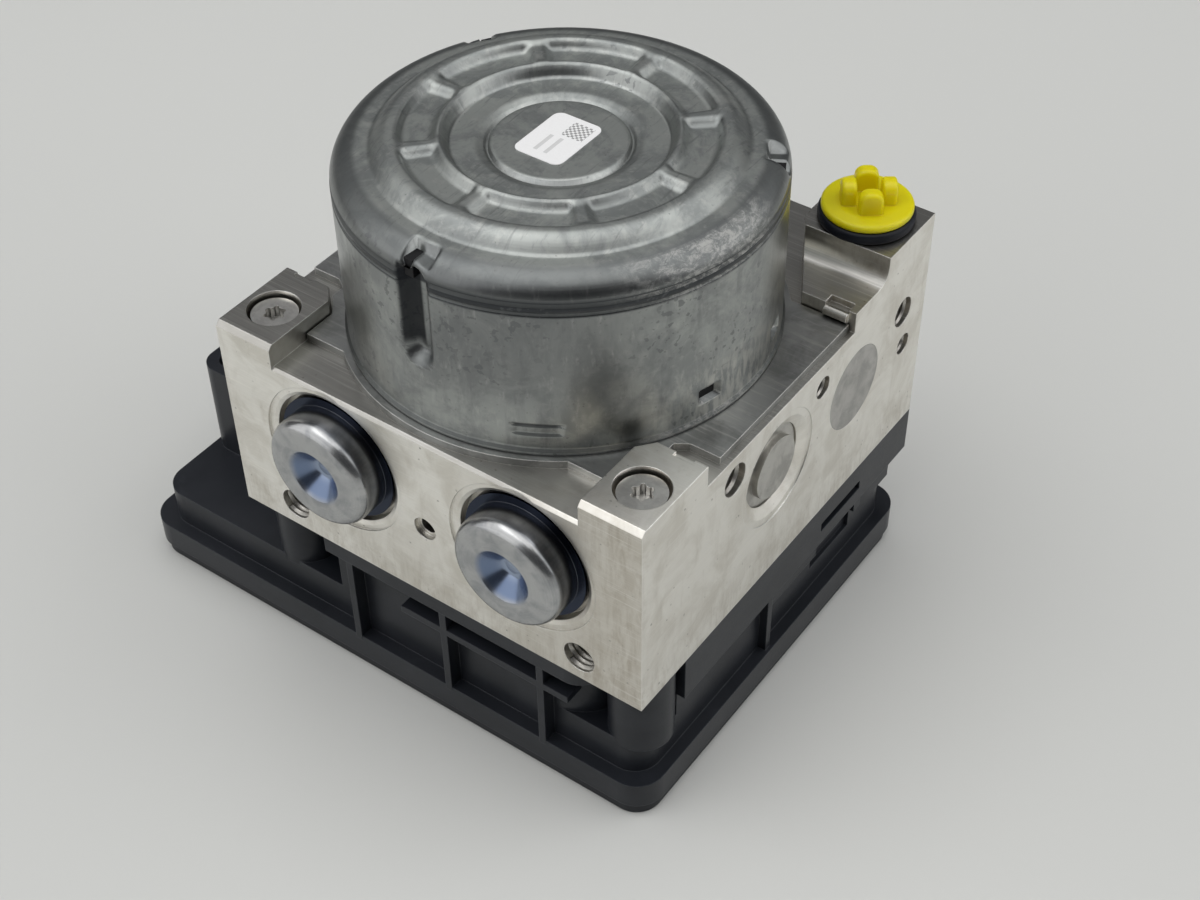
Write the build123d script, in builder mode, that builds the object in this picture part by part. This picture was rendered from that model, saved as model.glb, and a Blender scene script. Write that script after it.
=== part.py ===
from build123d import *
import math
import os

os.makedirs("parts", exist_ok=True)

# Units are millimetres. The base plane is the bottom of the control unit's cover,
# the Z axis is the motor's axis, -Y is the face with the two accumulator caps.

# ---- fits ----
FIT = 0.05  # radial gap of a piece seated in its bore
RUN = 0.03  # radial gap of a running shaft
SLIDE = 0.3  # radial gap of a moving piston
OVER = 1.0  # how far a cutter runs past a face

# ---- stack of heights ----
COVER_T = 2.6
RIM_T = 5.4
MID_H = 7.5
DOME_H = 14.7
RIM_Z = COVER_T + RIM_T
MID_Z = RIM_Z + MID_H
BLOCK_Z = MID_Z + DOME_H

# ---- valve block ----
HALF_X = 42.3
BLOCK_DEPTH = 87.0
FRONT_Y = -38.65
BACK_Y = FRONT_Y + BLOCK_DEPTH
FLOOR_H = 35.7
PAD_RISE = 4.3
SHELF_RISE = 4.0
BOSS_RISE = 8.8
FLOOR_Z = BLOCK_Z + FLOOR_H
PAD_Z = FLOOR_Z + PAD_RISE
SHELF_Z = FLOOR_Z + SHELF_RISE
BOSS_Z = FLOOR_Z + BOSS_RISE
PAD_IN_X = HALF_X - 11.6
PAD_CUT_X = HALF_X - 9.3
PAD_BACK_Y = -21.25
PAD_CUT_Y = -24.05
PAD_BEVEL = 0.9
EDGE_BEVEL = 0.5
SHELF_Y = 22.75
BOSS_Y = 33.15
BOSS_IN_X = HALF_X - 17.9
BOSS_CUT_X = HALF_X - 10.7
BOSS_CUT_Y0 = 23.45
BOSS_CUT_Y1 = 35.85
BOSS_FILLET = 3.2

# ---- accumulators, in the front face ----
ACC_X = HALF_X - 22.95
ACC_H = 21.15
ACC_Z = BLOCK_Z + ACC_H
ACC_SPOT_R = 14.3
ACC_SPOT_T = 0.4
ACC_RIM_R = 13.3
ACC_MOUTH_R = 12.6
ACC_MOUTH_T = 2.6
ACC_BORE_R = 10.9
ACC_BORE_T = 25.0
CAP_FLANGE_R = 11.8
CAP_FLANGE_T = 1.6
CAP_R = 10.3
CAP_OUT = 5.0
CAP_SHOULDER = 2.2
CAP_DIMPLE_R = 5.2
CAP_DIMPLE_LOW_R = 1.9
CAP_DIMPLE_T = 3.0
CAP_DIMPLE_ROUND = 1.2
CAP_CEILING = 2.5
CAP_WALL = 1.2
CAP_SKIRT = 4.0
PISTON_H = 8.0
PISTON_WALL = 1.6
PISTON_GROOVE_T = 1.6
PISTON_GROOVE_H = 2.6
SPRING_R = 6.6
SPRING_WIRE_R = 0.7
SPRING_TURNS = 4

# ---- holes in the block's faces: across, height above the block's bottom, radius, depth ----
BRACKET_R = 3.0
BRACKET_T = 9.0
BRACKET_X = HALF_X - 12.1
BRACKET_H = 4.93
SIDE_BRACKET = (-13.25, 30.8)
PIN_HOLE = (-0.4, 16.26)
PIN_HOLE_R = 1.5
PIN_HOLE_T = 6.0
PIN_SINK_R = 2.24
PIN_SINK_T = 1.0
SIDE_HOLES = ((13.25, 30.7, 2.07, 6.0), (40.35, 28.4, 2.84, 6.5), (41.75, 20.3, 2.05, 6.0))

# ---- pump, along X at the motor's axis ----
PUMP_DOWN = 12.8
PUMP_Z = FLOOR_Z - PUMP_DOWN
PUMP_RING_R = 10.7
PUMP_RING_T = 0.15
PUMP_CONE_R = 9.4
PUMP_CONE_T = 1.2
PUMP_MOUTH_R = 7.6
PUMP_MOUTH_T = 9.3
PUMP_SLEEVE_R = 6.45
PUMP_FOOT_X = 14.0
PUMP_SPRING_X = 25.0
PUMP_SPRING_R = 5.2
PUMP_PISTON_R = 3.0
PUMP_HEAD_R = 4.8
PUMP_HEAD_T = 1.2
PUMP_PLUG_FACE_R = 5.7
PUMP_PLUG_BASE_T = 7.8
PUMP_PLUG_DEEP = 0.3
PUMP_COIL_R = 3.9
PUMP_COIL_WIRE_R = 0.5
PUMP_COIL_TURNS = 3

# ---- damper chambers ----
DAMPER_Y = 24.55
DAMPER_Z = PUMP_Z - 0.3
DAMPER_R = 7.9
DAMPER_T = 20.0
DAMPER_DISC_T = 2.4

# ---- columns of the valves and the line ports ----
VALVE_IN = 12.3
VALVE_STEP = (HALF_X - VALVE_IN) / 3
VALVE_X = (-3 * VALVE_STEP, -VALVE_STEP, VALVE_STEP, 3 * VALVE_STEP)

# ---- ports ----
PORT_X = HALF_X - 9.1
PORT_Y = 40.85
PORT_R = 6.0
PORT_T = 12.0
PORT_TIP_R = 2.0
PORT_TIP_T = 4.0
LINE_X = VALVE_X
LINE_H = 25.0
LINE_R = 5.0
LINE_T = 12.0
LINE_TIP_R = 1.8
LINE_TIP_T = 3.0
DRILL_R = 1.5

# ---- ball plugs in the rear face ----
BALL_R = 2.4
BALL_T = 6.0
BALL_H = (10.0, 30.4)

# ---- motor seat in the block ----
SEAT_R = 11.0
SEAT_T = 5.5
CAVITY_R = 10.0
CAVITY_Z = FLOOR_Z - 20.9
NOSE_R = 8.0
NOSE_T = 5.0
TAIL_R = 5.0
TAIL_T = 2.5
WIRE_Y = -27.0
WIRE_BORE_R = 3.5
STAKE_X0 = HALF_X - 5.9
STAKE_X1 = HALF_X - 1.5
STAKE_T = 2.1
STAKE_H = 1.2
STAKE_LIP_R = 0.9
PAD_STAKE_X0 = HALF_X - 5.8
PAD_STAKE_X1 = HALF_X - 2.3
PAD_STAKE_T = 1.0
PAD_STAKE_H = 0.4

# ---- housing screws ----
SCREW_FRONT = (HALF_X - 5.55, -30.6)
SCREW_REAR = (-2 * VALVE_STEP, 43.5)
SCREW_HEAD_R = 4.0
SCREW_HEAD_H = 3.3
SCREW_SINK_R = 4.56
SCREW_SINK_T = 4.3
SCREW_R = 2.3
SCREW_HOLE_R = 2.6
SCREW_TORX_R = 1.9
SCREW_TORX_T = 1.9
SCREW_GRIP = 9.0

# ---- valves and coils ----
OUTLET_Y = 15.0
INLET_Y = 35.0
VALVE_COLLAR_R = 6.4
VALVE_COLLAR_T = 5.8
VALVE_STEM_R = 4.5
VALVE_T = 13.3
VALVE_DOME_R = 3.8
VALVE_DOME_T = 14.0
VALVE_TIP_R = 2.2
FILTER_T = 2.2
COIL_R = 8.5
COIL_BORE_R = 4.3
COIL_SHELL = 0.8
COIL_TOP_GAP = 0.6
COIL_H = 14.0
BOBBIN_FLANGE_T = 1.0
BOBBIN_WALL = 0.8
TERMINAL_R = 0.35
TERMINAL_X = 3.0

# ---- motor ----
PLATE_T = 1.5
CAN_R = 36.0
PLATE_R = CAN_R + 1.6
PLATE_X = HALF_X - 1.1
PLATE_FRONT_Y = -30.05
PLATE_GAP = 0.25
PLATE_IN_X = PAD_IN_X - PLATE_GAP
PLATE_NOTCH_X = PAD_CUT_X + 0.6
PLATE_NOTCH_Y = -16.15
PLATE_Z = FLOOR_Z + PLATE_T
BOSS_CLEAR_R = CAN_R + 3.2
CAN_WALL = 1.6
CAN_RIM_R = CAN_R + 0.4
CAN_RIM_T = 1.0
CAN_FLAT_H = 34.5
CAN_EDGE_R = 4.5
CAN_LINES = (31.2, 29.7)
CAN_LINE_T = 0.22
CAN_CEILING_T = 2.4
CAN_FLAT_Z = FLOOR_Z + CAN_FLAT_H
BEAD_OUT_R = CAN_R - 6.85
BEAD_R1 = CAN_R - 10.4
BEAD_R0 = CAN_R - 17.4
BEAD_IN_R = CAN_R - 20.4
BEAD_H = 2.3
BEAD_FILLET = 3.4
POCKET_R0 = CAN_R - 15.7
POCKET_R1 = CAN_R - 11.2
POCKET_DEG = 36.0
POCKET_T = 1.2
POCKET_ROUND = 1.3
POCKET_TAPER = 35.0
POCKETS = 8
BUMP_OUT_R = CAN_R - 24.7
BUMP_LOW_R = BUMP_OUT_R - 0.4
BUMP_R = BUMP_LOW_R - 0.4
BUMP_GROOVE_T = 0.5
BUMP_T = 0.1
NOTCH_DEG = (-90.0, 30.0, 150.0)
NOTCH_W = 3.2
NOTCH_H = 1.3
NOTCH_DOWN = 0.6
NOTCH_T = 3.2
GROOVE_DEG = -91.0
GROOVE_W = 6.2
GROOVE_T = 1.3
GROOVE_TOP_H = 29.0
GROOVE_LOW_H = 13.3
WINDOWS = ((-18.0, -12.0, 2.5), (12.6, 18.0, 2.5), (114.0, 126.0, 4.0))
WINDOW_H = 5.3
BLIND = (-66.0, -54.0, 4.0)
BLIND_T = 0.5
BLIND_SLIT = 0.5

# ---- motor insides ----
SHAFT_R = 4.0
SHAFT_TAIL = 6.5
BALL_BEARING_T = 5.0
LOW_BEARING_T = 7.0
COLLAR_WALL = 1.9
MAGNET_T = 5.0
MAGNET_H = 17.0
MAGNET_Z = PLATE_Z + 9.8
MAGNET_DEG = 70.0
AIR_GAP = 0.7
CORE_H = 13.0
CORE_Z = PLATE_Z + 11.6
SLOTS = 12
SLOT_R0 = 15.0
SLOT_R1 = CAN_R - 9.7
SLOT_W = 5.0
SLOT_MOUTH_W = 2.0
WIRE_GAP = 0.2
HEAD_H = 3.4
COMM_R = 9.5
COMM_H = 5.2
COMM_Z = PLATE_Z + 2.6
HOLDER_R = CAN_R - 2.4
HOLDER_T = 1.8
BRUSH_W = 5.0
BRUSH_H = 4.4
BRUSH_L = 8.5
BRUSH_WALL = 0.9
BRUSH_BOX_L = CAN_R - 23.0
BRUSHES = 4
BRUSH_SPRING_R = 1.7
ECC_OFFSET = 1.2
ECC_R = 6.0
ECC_H = 10.0
NEEDLE_R = 8.0
NEEDLE_H = 8.0
PISTON_CLEAR = 0.12
SEAL_T = 1.8
CONTACT_X = 1.5
CONTACT_W = 0.8
CONTACT_D = 2.0

# ---- transport plugs ----
PLUG_SEAL_R = 8.3
PLUG_SEAL_T = 2.1
PLUG_R = 7.85
PLUG_RIM_T = 1.3
PLUG_ROUND = 0.6
PLUG_UNDER_ROUND = 0.5
PLUG_DOME_T = 1.6
PLUG_HUB_R = 5.4
PLUG_STEM_R = 5.5
PLUG_STEM_T = 8.5
TAB_R = 3.4
TAB_T = 2.5
TAB_W = 4.1
TAB_TOP = 5.5
TAB_ROOT = 1.5
TAB_ROUND = 1.7
TAB_SOFT = 0.6
TAB_DEG = (-54.0, 36.0, 126.0, 216.0)

# ---- control unit ----
RIM_X0 = -HALF_X - 30.45
RIM_X1 = HALF_X + 0.7
RIM_Y0 = -38.55
RIM_Y1 = BACK_Y
RIM_CORNER = 5.5
MID_X0 = RIM_X0 + 2.75
MID_X1 = HALF_X - 1.6
MID_Y0 = -35.95
MID_Y1 = 45.65
MID_CORNER = 5.0
SHELL = 2.0
DOME_X0 = -HALF_X
DOME_CORNER_X = -24.65
DOME_CORNER_Y = -24.0
DOME_RIGHT_X = HALF_X - 10.8
DOME_RIGHT_Y = -26.0
DOME_ROUND = 8.5
BAND_H = 9.5
STRIP_H = 3.3
RIB_W = 1.4
RIBS_X = (-19.4, 1.3, 21.8)
SIDE_RIB_Y = 0.85
POST_R = 5.6
REAR_POST_R = 4.0
EYE_R = 3.8
POST_HOLE_R = 1.9
FRONT_SLOTS = ((-8.0, 0.4), (2.1, 20.9), (22.6, 27.5))
SLOT_H = 3.8
SLOT_T = 1.2
BAR_X0 = -8.0
BAR_X1 = 27.5
BAR_H = 1.4
STEP_Y1 = 33.0
STEP_H = 3.4
STEP_IN = 0.6
SIDE_SLOT_Y0 = 17.35
SIDE_SLOT_Y1 = 30.85
SIDE_SLOTS = ((4.5, 2.0), (11.0, 6.0))
GASKET_T = 1.0
GASKET_W = 1.0
SHROUD_X0 = MID_X0
SHROUD_X1 = -HALF_X - 1.9
SHROUD_Y0 = -21.65
SHROUD_Y1 = 31.85
SHROUD_H = 20.2
SHROUD_WALL = 2.0
SHROUD_ROUND = 3.5
SHROUD_FLOOR_T = 2.0
COVER_INSET = 0.7
BOARD_T = 1.6
BOARD_GAP = 1.6
BOARD_LIFT = 6.2
BOARD_CORNER = 2.0
PIN_W = 0.64
PIN_UP = 10.0
PIN_PITCH_X = 4.0
PIN_PITCH_Y = 2.6
PIN_ROWS = 4
PIN_COLS = 9
PIN_Y = 11.5
BLADE_W = 5.8
BLADE_T = 0.8
BLADE_Y = (-12.0, -5.0)
VENT_R = 4.0
VENT_HOLE_R = 1.5
VENT_T = 0.4
VENT_POS = (-57.0, -25.0)
BOARD_POSTS = ((-60.0, -28.0), (-60.0, 38.0), (0.0, -30.0), (0.0, 25.0), (34.0, -26.0), (-38.0, 5.0))
BOARD_POST_R = 2.4
# each part on the board: x, y, width, depth, height
BOARD_PARTS = (
    (-56.0, -24.0, 9.0, 9.0, 1.6),
    (-30.0, -22.0, 12.0, 12.0, 1.8),
    (-14.0, -24.0, 7.0, 6.0, 1.6),
    (20.0, -22.0, 10.0, 10.0, 1.8),
    (24.0, -6.0, 6.0, 6.0, 1.4),
    (0.0, 2.0, 14.0, 9.0, 1.8),
    (-24.0, -4.0, 8.0, 5.0, 1.4),
    (34.0, -8.0, 3.0, 6.0, 1.2),
)

# ---- planes of the block's faces, Z up in each ----
FRONT = Plane(origin=(0, FRONT_Y, 0), x_dir=(1, 0, 0), z_dir=(0, -1, 0))
BACK = Plane(origin=(0, BACK_Y, 0), x_dir=(-1, 0, 0), z_dir=(0, 1, 0))
RIGHT = Plane(origin=(HALF_X, 0, 0), x_dir=(0, 1, 0), z_dir=(1, 0, 0))
LEFT = Plane(origin=(-HALF_X, 0, 0), x_dir=(0, -1, 0), z_dir=(-1, 0, 0))
SIDES = (-1, 1)


def level(z):
    return Plane.XY.offset(z)


def export(builder, node):
    builder.part.label = node
    export_step(builder.part, "parts/" + node + ".step")


def bore(plane, across, up, radius, depth):
    """Round cut into a face, from just outside it."""
    with BuildSketch(plane.offset(OVER)) as face:
        with Locations((across, up)):
            Circle(radius)
    extrude(face.sketch, amount=-depth - OVER, mode=Mode.SUBTRACT)


def drum(x, y, z, radius, height, mode=Mode.ADD):
    """Upright cylinder from z upwards."""
    with BuildSketch(level(z)) as face:
        with Locations((x, y)):
            Circle(radius)
    extrude(face.sketch, amount=height, mode=mode)


def block_of(x0, x1, y0, y1, z0, z1, mode=Mode.ADD):
    """Upright box between corners."""
    with BuildSketch(level(z0)) as face:
        with Locations(((x0 + x1) / 2, (y0 + y1) / 2)):
            Rectangle(x1 - x0, y1 - y0)
    extrude(face.sketch, amount=z1 - z0, mode=mode)


def rounded(x0, x1, y0, y1, corner, z0, z1, mode=Mode.ADD):
    """Upright plate with rounded corners."""
    with BuildSketch(level(z0)) as face:
        with Locations(((x0 + x1) / 2, (y0 + y1) / 2)):
            RectangleRounded(x1 - x0, y1 - y0, corner)
    extrude(face.sketch, amount=z1 - z0, mode=mode)


def prism(points, z0, z1, mode=Mode.ADD):
    """Upright prism over a polygon."""
    with BuildSketch(level(z0)) as face:
        with BuildLine():
            Polyline(*points, close=True)
        make_face()
    extrude(face.sketch, amount=z1 - z0, mode=mode)


def near(sketch, x, y):
    """Corner of a flat sketch close to a point."""
    return sketch.vertices().sort_by_distance((x, y, 0))[0]


def turned(origin, out, side, points, mode=Mode.ADD, rounds=()):
    """Solid of revolution: points are (radius, distance along out), rounds are (corner, radius)."""
    normal = Vector(*side).cross(Vector(*out))
    frame = Plane(origin=origin, x_dir=side, z_dir=normal)
    with BuildSketch(frame) as face:
        with BuildLine():
            Polyline(*points, close=True)
        make_face()
        for corner, radius in rounds:
            fillet(near(face, *corner), radius)
    revolve(face.sketch, axis=Axis(origin, out), mode=mode)


def ring_points(r0, r1, a, b):
    return [(r0, a), (r1, a), (r1, b), (r0, b)]


def coil(start, out, radius, wire, length, turns):
    """Helical spring whose wire centre line starts at start and runs along out."""
    path = Helix(length / turns, length, radius, mode=Mode.PRIVATE)
    with BuildSketch(Plane(path @ 0, z_dir=path % 0)) as face:
        Circle(wire)
    upright = sweep(face.sketch, path=path, mode=Mode.PRIVATE)
    add(Plane(origin=start, z_dir=out).location * upright)


def mirrored(points):
    return [(-x, y) for x, y in reversed(points)]


# =====================================================================
# Valve block
# =====================================================================

pad = [
    (PAD_IN_X, FRONT_Y),
    (HALF_X, FRONT_Y),
    (HALF_X, PAD_BACK_Y),
    (PAD_CUT_X, PAD_BACK_Y),
    (PAD_IN_X, PAD_CUT_Y),
]
shelf_x = math.sqrt(BOSS_CLEAR_R**2 - SHELF_Y**2)
boss_slope = (BOSS_CUT_X - BOSS_IN_X) / (BOSS_CUT_Y1 - BOSS_CUT_Y0)
boss_x = BOSS_CUT_X - (BOSS_Y - BOSS_CUT_Y0) * boss_slope
shelf = [
    (shelf_x, SHELF_Y),
    (HALF_X, SHELF_Y),
    (HALF_X, BACK_Y),
    (BOSS_IN_X, BACK_Y),
    (BOSS_IN_X, BOSS_CUT_Y1),
    (BOSS_CUT_X, BOSS_CUT_Y0),
]
boss = [
    (boss_x, BOSS_Y),
    (HALF_X, BOSS_Y),
    (HALF_X, BACK_Y),
    (BOSS_IN_X, BACK_Y),
    (BOSS_IN_X, BOSS_CUT_Y1),
]
screws = [(s * SCREW_FRONT[0], SCREW_FRONT[1], PAD_Z) for s in SIDES]
screws.append((*SCREW_REAR, FLOOR_Z))
pump_sleeve_bore_r = PUMP_SLEEVE_R + FIT
pump_piston_bore_r = PUMP_PISTON_R + FIT
pump_cone = [(0, 0), (PUMP_CONE_R, 0), (PUMP_CONE_R, -PUMP_RING_T), (PUMP_MOUTH_R, -PUMP_CONE_T), (0, -PUMP_CONE_T)]

with BuildPart() as valve_block:
    block_of(-HALF_X, HALF_X, FRONT_Y, BACK_Y, BLOCK_Z, FLOOR_Z)
    front_edge = valve_block.edges().filter_by(Axis.X).group_by(Axis.Z)[-1].sort_by(Axis.Y)[0]
    chamfer(front_edge, EDGE_BEVEL)
    for outline, top in ((pad, PAD_Z), (shelf, SHELF_Z), (boss, BOSS_Z)):
        prism(outline, FLOOR_Z - OVER, top)
        prism(mirrored(outline), FLOOR_Z - OVER, top)
    pad_edges = valve_block.edges().filter_by(Axis.X)
    pad_edges = pad_edges.filter_by(lambda e: abs(e.center().Y - FRONT_Y) < 0.01)
    chamfer(pad_edges.filter_by(lambda e: abs(e.center().Z - PAD_Z) < 0.01), PAD_BEVEL)
    feet = valve_block.edges().filter_by(Axis.X)
    feet = feet.filter_by(lambda e: abs(e.center().Y - BOSS_Y) < 0.01)
    fillet(feet.filter_by(lambda e: abs(e.center().Z - SHELF_Z) < 0.01), BOSS_FILLET)
    # motor seat, pump cavity and the shaft's nose bearing
    drum(0, 0, FLOOR_Z - SEAT_T, SEAT_R + FIT, SEAT_T + OVER, Mode.SUBTRACT)
    drum(0, 0, CAVITY_Z, CAVITY_R, FLOOR_Z - CAVITY_Z, Mode.SUBTRACT)
    drum(0, 0, CAVITY_Z - NOSE_T, NOSE_R + FIT, NOSE_T + OVER, Mode.SUBTRACT)
    drum(0, 0, CAVITY_Z - NOSE_T - TAIL_T, TAIL_R, TAIL_T + OVER, Mode.SUBTRACT)
    drum(0, WIRE_Y, BLOCK_Z - OVER, WIRE_BORE_R, FLOOR_H + 2 * OVER, Mode.SUBTRACT)
    # accumulator bores
    for s in SIDES:
        bore(FRONT, s * ACC_X, ACC_Z, ACC_SPOT_R, ACC_SPOT_T)
        turned(
            (s * ACC_X, FRONT_Y, ACC_Z),
            (0, -1, 0),
            (1, 0, 0),
            [(0, 0), (ACC_RIM_R, 0), (ACC_RIM_R, -ACC_SPOT_T), (ACC_MOUTH_R, -2 * ACC_SPOT_T), (0, -2 * ACC_SPOT_T)],
            Mode.SUBTRACT,
        )
        bore(FRONT, s * ACC_X, ACC_Z, ACC_MOUTH_R, ACC_MOUTH_T)
        bore(FRONT, s * ACC_X, ACC_Z, ACC_BORE_R, ACC_BORE_T)
        bore(FRONT, s * BRACKET_X, BLOCK_Z + BRACKET_H, BRACKET_R, BRACKET_T)
    for radius, depth in ((PIN_SINK_R, PIN_SINK_T), (PIN_HOLE_R, PIN_HOLE_T)):
        bore(FRONT, PIN_HOLE[0], BLOCK_Z + PIN_HOLE[1], radius, depth)
    # pump and damper bores
    for face in (LEFT, RIGHT):
        turn = 1 if face is RIGHT else -1
        bore(face, 0, PUMP_Z, PUMP_RING_R, PUMP_RING_T)
        turned((turn * HALF_X, 0, PUMP_Z), (turn, 0, 0), (0, 1, 0), pump_cone, Mode.SUBTRACT)
        bore(face, 0, PUMP_Z, PUMP_MOUTH_R, PUMP_MOUTH_T)
        bore(face, 0, PUMP_Z, pump_sleeve_bore_r, HALF_X - PUMP_FOOT_X)
        bore(face, 0, PUMP_Z, pump_piston_bore_r, HALF_X - CAVITY_R / 2)
        bore(face, turn * DAMPER_Y, DAMPER_Z, DAMPER_R, DAMPER_T)
    bore(RIGHT, SIDE_BRACKET[0], BLOCK_Z + SIDE_BRACKET[1], BRACKET_R, BRACKET_T)
    for across, up, radius, depth in SIDE_HOLES:
        bore(RIGHT, across, BLOCK_Z + up, radius, depth)
    # line ports, drillings and ball plug bores
    for s in SIDES:
        drum(s * PORT_X, PORT_Y, BOSS_Z - PORT_T, PORT_R, PORT_T + OVER, Mode.SUBTRACT)
        tip = PORT_T + PORT_TIP_T
        drum(s * PORT_X, PORT_Y, BOSS_Z - tip, PORT_TIP_R, tip, Mode.SUBTRACT)
    for x in LINE_X:
        bore(BACK, -x, BLOCK_Z + LINE_H, LINE_R, LINE_T)
        bore(BACK, -x, BLOCK_Z + LINE_H, LINE_TIP_R, LINE_T + LINE_TIP_T)
        drum(x, INLET_Y, BLOCK_Z, DRILL_R, LINE_H, Mode.SUBTRACT)
    for up in BALL_H:
        bore(BACK, 0, BLOCK_Z + up, BALL_R + FIT, BALL_T)
    # valve bores
    for x in VALVE_X:
        for y in (OUTLET_Y, INLET_Y):
            drum(x, y, BLOCK_Z - OVER, VALVE_COLLAR_R + FIT, VALVE_COLLAR_T + OVER, Mode.SUBTRACT)
            drum(x, y, BLOCK_Z - OVER, VALVE_STEM_R + FIT, VALVE_T + OVER, Mode.SUBTRACT)
    # housing screws
    for x, y, top in screws:
        drum(x, y, top - SCREW_SINK_T, SCREW_SINK_R, SCREW_SINK_T + OVER, Mode.SUBTRACT)
        drum(x, y, BLOCK_Z - OVER, SCREW_HOLE_R, top - BLOCK_Z, Mode.SUBTRACT)
    # metal staked over the motor's plate
    for s in SIDES:
        x0, x1 = sorted((s * STAKE_X0, s * STAKE_X1))
        block_of(x0, x1, SHELF_Y - OVER, SHELF_Y + STAKE_T, SHELF_Z - STAKE_H, BOSS_Z, Mode.SUBTRACT)
        with BuildSketch(Plane.YZ.offset(x0)):
            with Locations((SHELF_Y, PLATE_Z + FIT + STAKE_LIP_R)):
                Circle(STAKE_LIP_R)
        extrude(amount=x1 - x0)
        x0, x1 = sorted((s * PAD_STAKE_X0, s * PAD_STAKE_X1))
        y1 = PAD_BACK_Y
        block_of(x0, x1, y1 - PAD_STAKE_T, y1 + OVER, PAD_Z - PAD_STAKE_H, PAD_Z + OVER, Mode.SUBTRACT)
export(valve_block, "valve_block")

# =====================================================================
# Accumulators
# =====================================================================

cap_seat = -ACC_MOUTH_T
cap_step = cap_seat + CAP_FLANGE_T
dimple_low = CAP_OUT - CAP_DIMPLE_T
cap_ceiling = CAP_OUT - CAP_CEILING
cap_points = [
    (0, dimple_low),
    (CAP_DIMPLE_LOW_R, dimple_low),
    (CAP_DIMPLE_R, CAP_OUT),
    (CAP_R, CAP_OUT),
    (CAP_R, cap_step),
    (CAP_FLANGE_R, cap_step),
    (CAP_FLANGE_R, cap_seat),
    (ACC_BORE_R - FIT, cap_seat),
    (ACC_BORE_R - FIT, cap_seat - CAP_SKIRT),
    (ACC_BORE_R - FIT - CAP_WALL, cap_seat - CAP_SKIRT),
    (CAP_R - CAP_WALL, cap_seat),
    (CAP_R - CAP_WALL, cap_ceiling),
    (CAP_DIMPLE_R + CAP_WALL / 2, cap_ceiling),
    (CAP_DIMPLE_LOW_R + CAP_WALL / 2, dimple_low - CAP_WALL),
    (0, dimple_low - CAP_WALL),
]
cap_rounds = [
    ((CAP_R, CAP_OUT), CAP_SHOULDER),
    ((CAP_DIMPLE_R, CAP_OUT), CAP_DIMPLE_ROUND / 2),
    ((CAP_DIMPLE_LOW_R, dimple_low), CAP_DIMPLE_ROUND),
]
piston_r = ACC_BORE_R - SLIDE
piston_back = -ACC_BORE_T
piston_face = piston_back + PISTON_H
groove_mid = piston_back + PISTON_H / 2
piston_points = [
    (0, piston_back),
    (piston_r, piston_back),
    (piston_r, groove_mid - PISTON_GROOVE_H / 2),
    (piston_r - PISTON_GROOVE_T, groove_mid - PISTON_GROOVE_H / 2),
    (piston_r - PISTON_GROOVE_T, groove_mid + PISTON_GROOVE_H / 2),
    (piston_r, groove_mid + PISTON_GROOVE_H / 2),
    (piston_r, piston_face),
    (piston_r - PISTON_WALL - PISTON_GROOVE_T, piston_face),
    (piston_r - PISTON_WALL - PISTON_GROOVE_T, piston_back + PISTON_WALL),
    (0, piston_back + PISTON_WALL),
]
seal_points = ring_points(
    piston_r - PISTON_GROOVE_T + FIT,
    ACC_BORE_R - SLIDE / 2,
    groove_mid - PISTON_GROOVE_H / 2 + FIT,
    groove_mid + PISTON_GROOVE_H / 2 - FIT,
)
spring_low = piston_back + PISTON_WALL + SPRING_WIRE_R + FIT
spring_high = cap_ceiling - SPRING_WIRE_R - FIT

for s, name in ((-1, "left"), (1, "right")):
    spot = (s * ACC_X, FRONT_Y, ACC_Z)
    with BuildPart() as accumulator_cap:
        turned(spot, (0, -1, 0), (1, 0, 0), cap_points, rounds=cap_rounds)
    export(accumulator_cap, "accumulator_cap_" + name)
    with BuildPart() as accumulator_piston:
        turned(spot, (0, -1, 0), (1, 0, 0), piston_points)
    export(accumulator_piston, "accumulator_piston_" + name)
    with BuildPart() as accumulator_seal:
        turned(spot, (0, -1, 0), (1, 0, 0), seal_points)
    export(accumulator_seal, "accumulator_seal_" + name)
    spring_base = (s * ACC_X, FRONT_Y - spring_low, ACC_Z)
    with BuildPart() as accumulator_spring:
        coil(spring_base, (0, -1, 0), SPRING_R, SPRING_WIRE_R, spring_high - spring_low, SPRING_TURNS)
    export(accumulator_spring, "accumulator_spring_" + name)

# =====================================================================
# Pump
# =====================================================================

piston_tip_x = ECC_OFFSET + NEEDLE_R + PISTON_CLEAR
mouth_x = HALF_X - PUMP_MOUTH_T
head_x = PUMP_SPRING_X + PUMP_HEAD_T
plug_face_x = HALF_X - PUMP_PLUG_DEEP
plug_step_x = mouth_x + PUMP_PLUG_BASE_T

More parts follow.
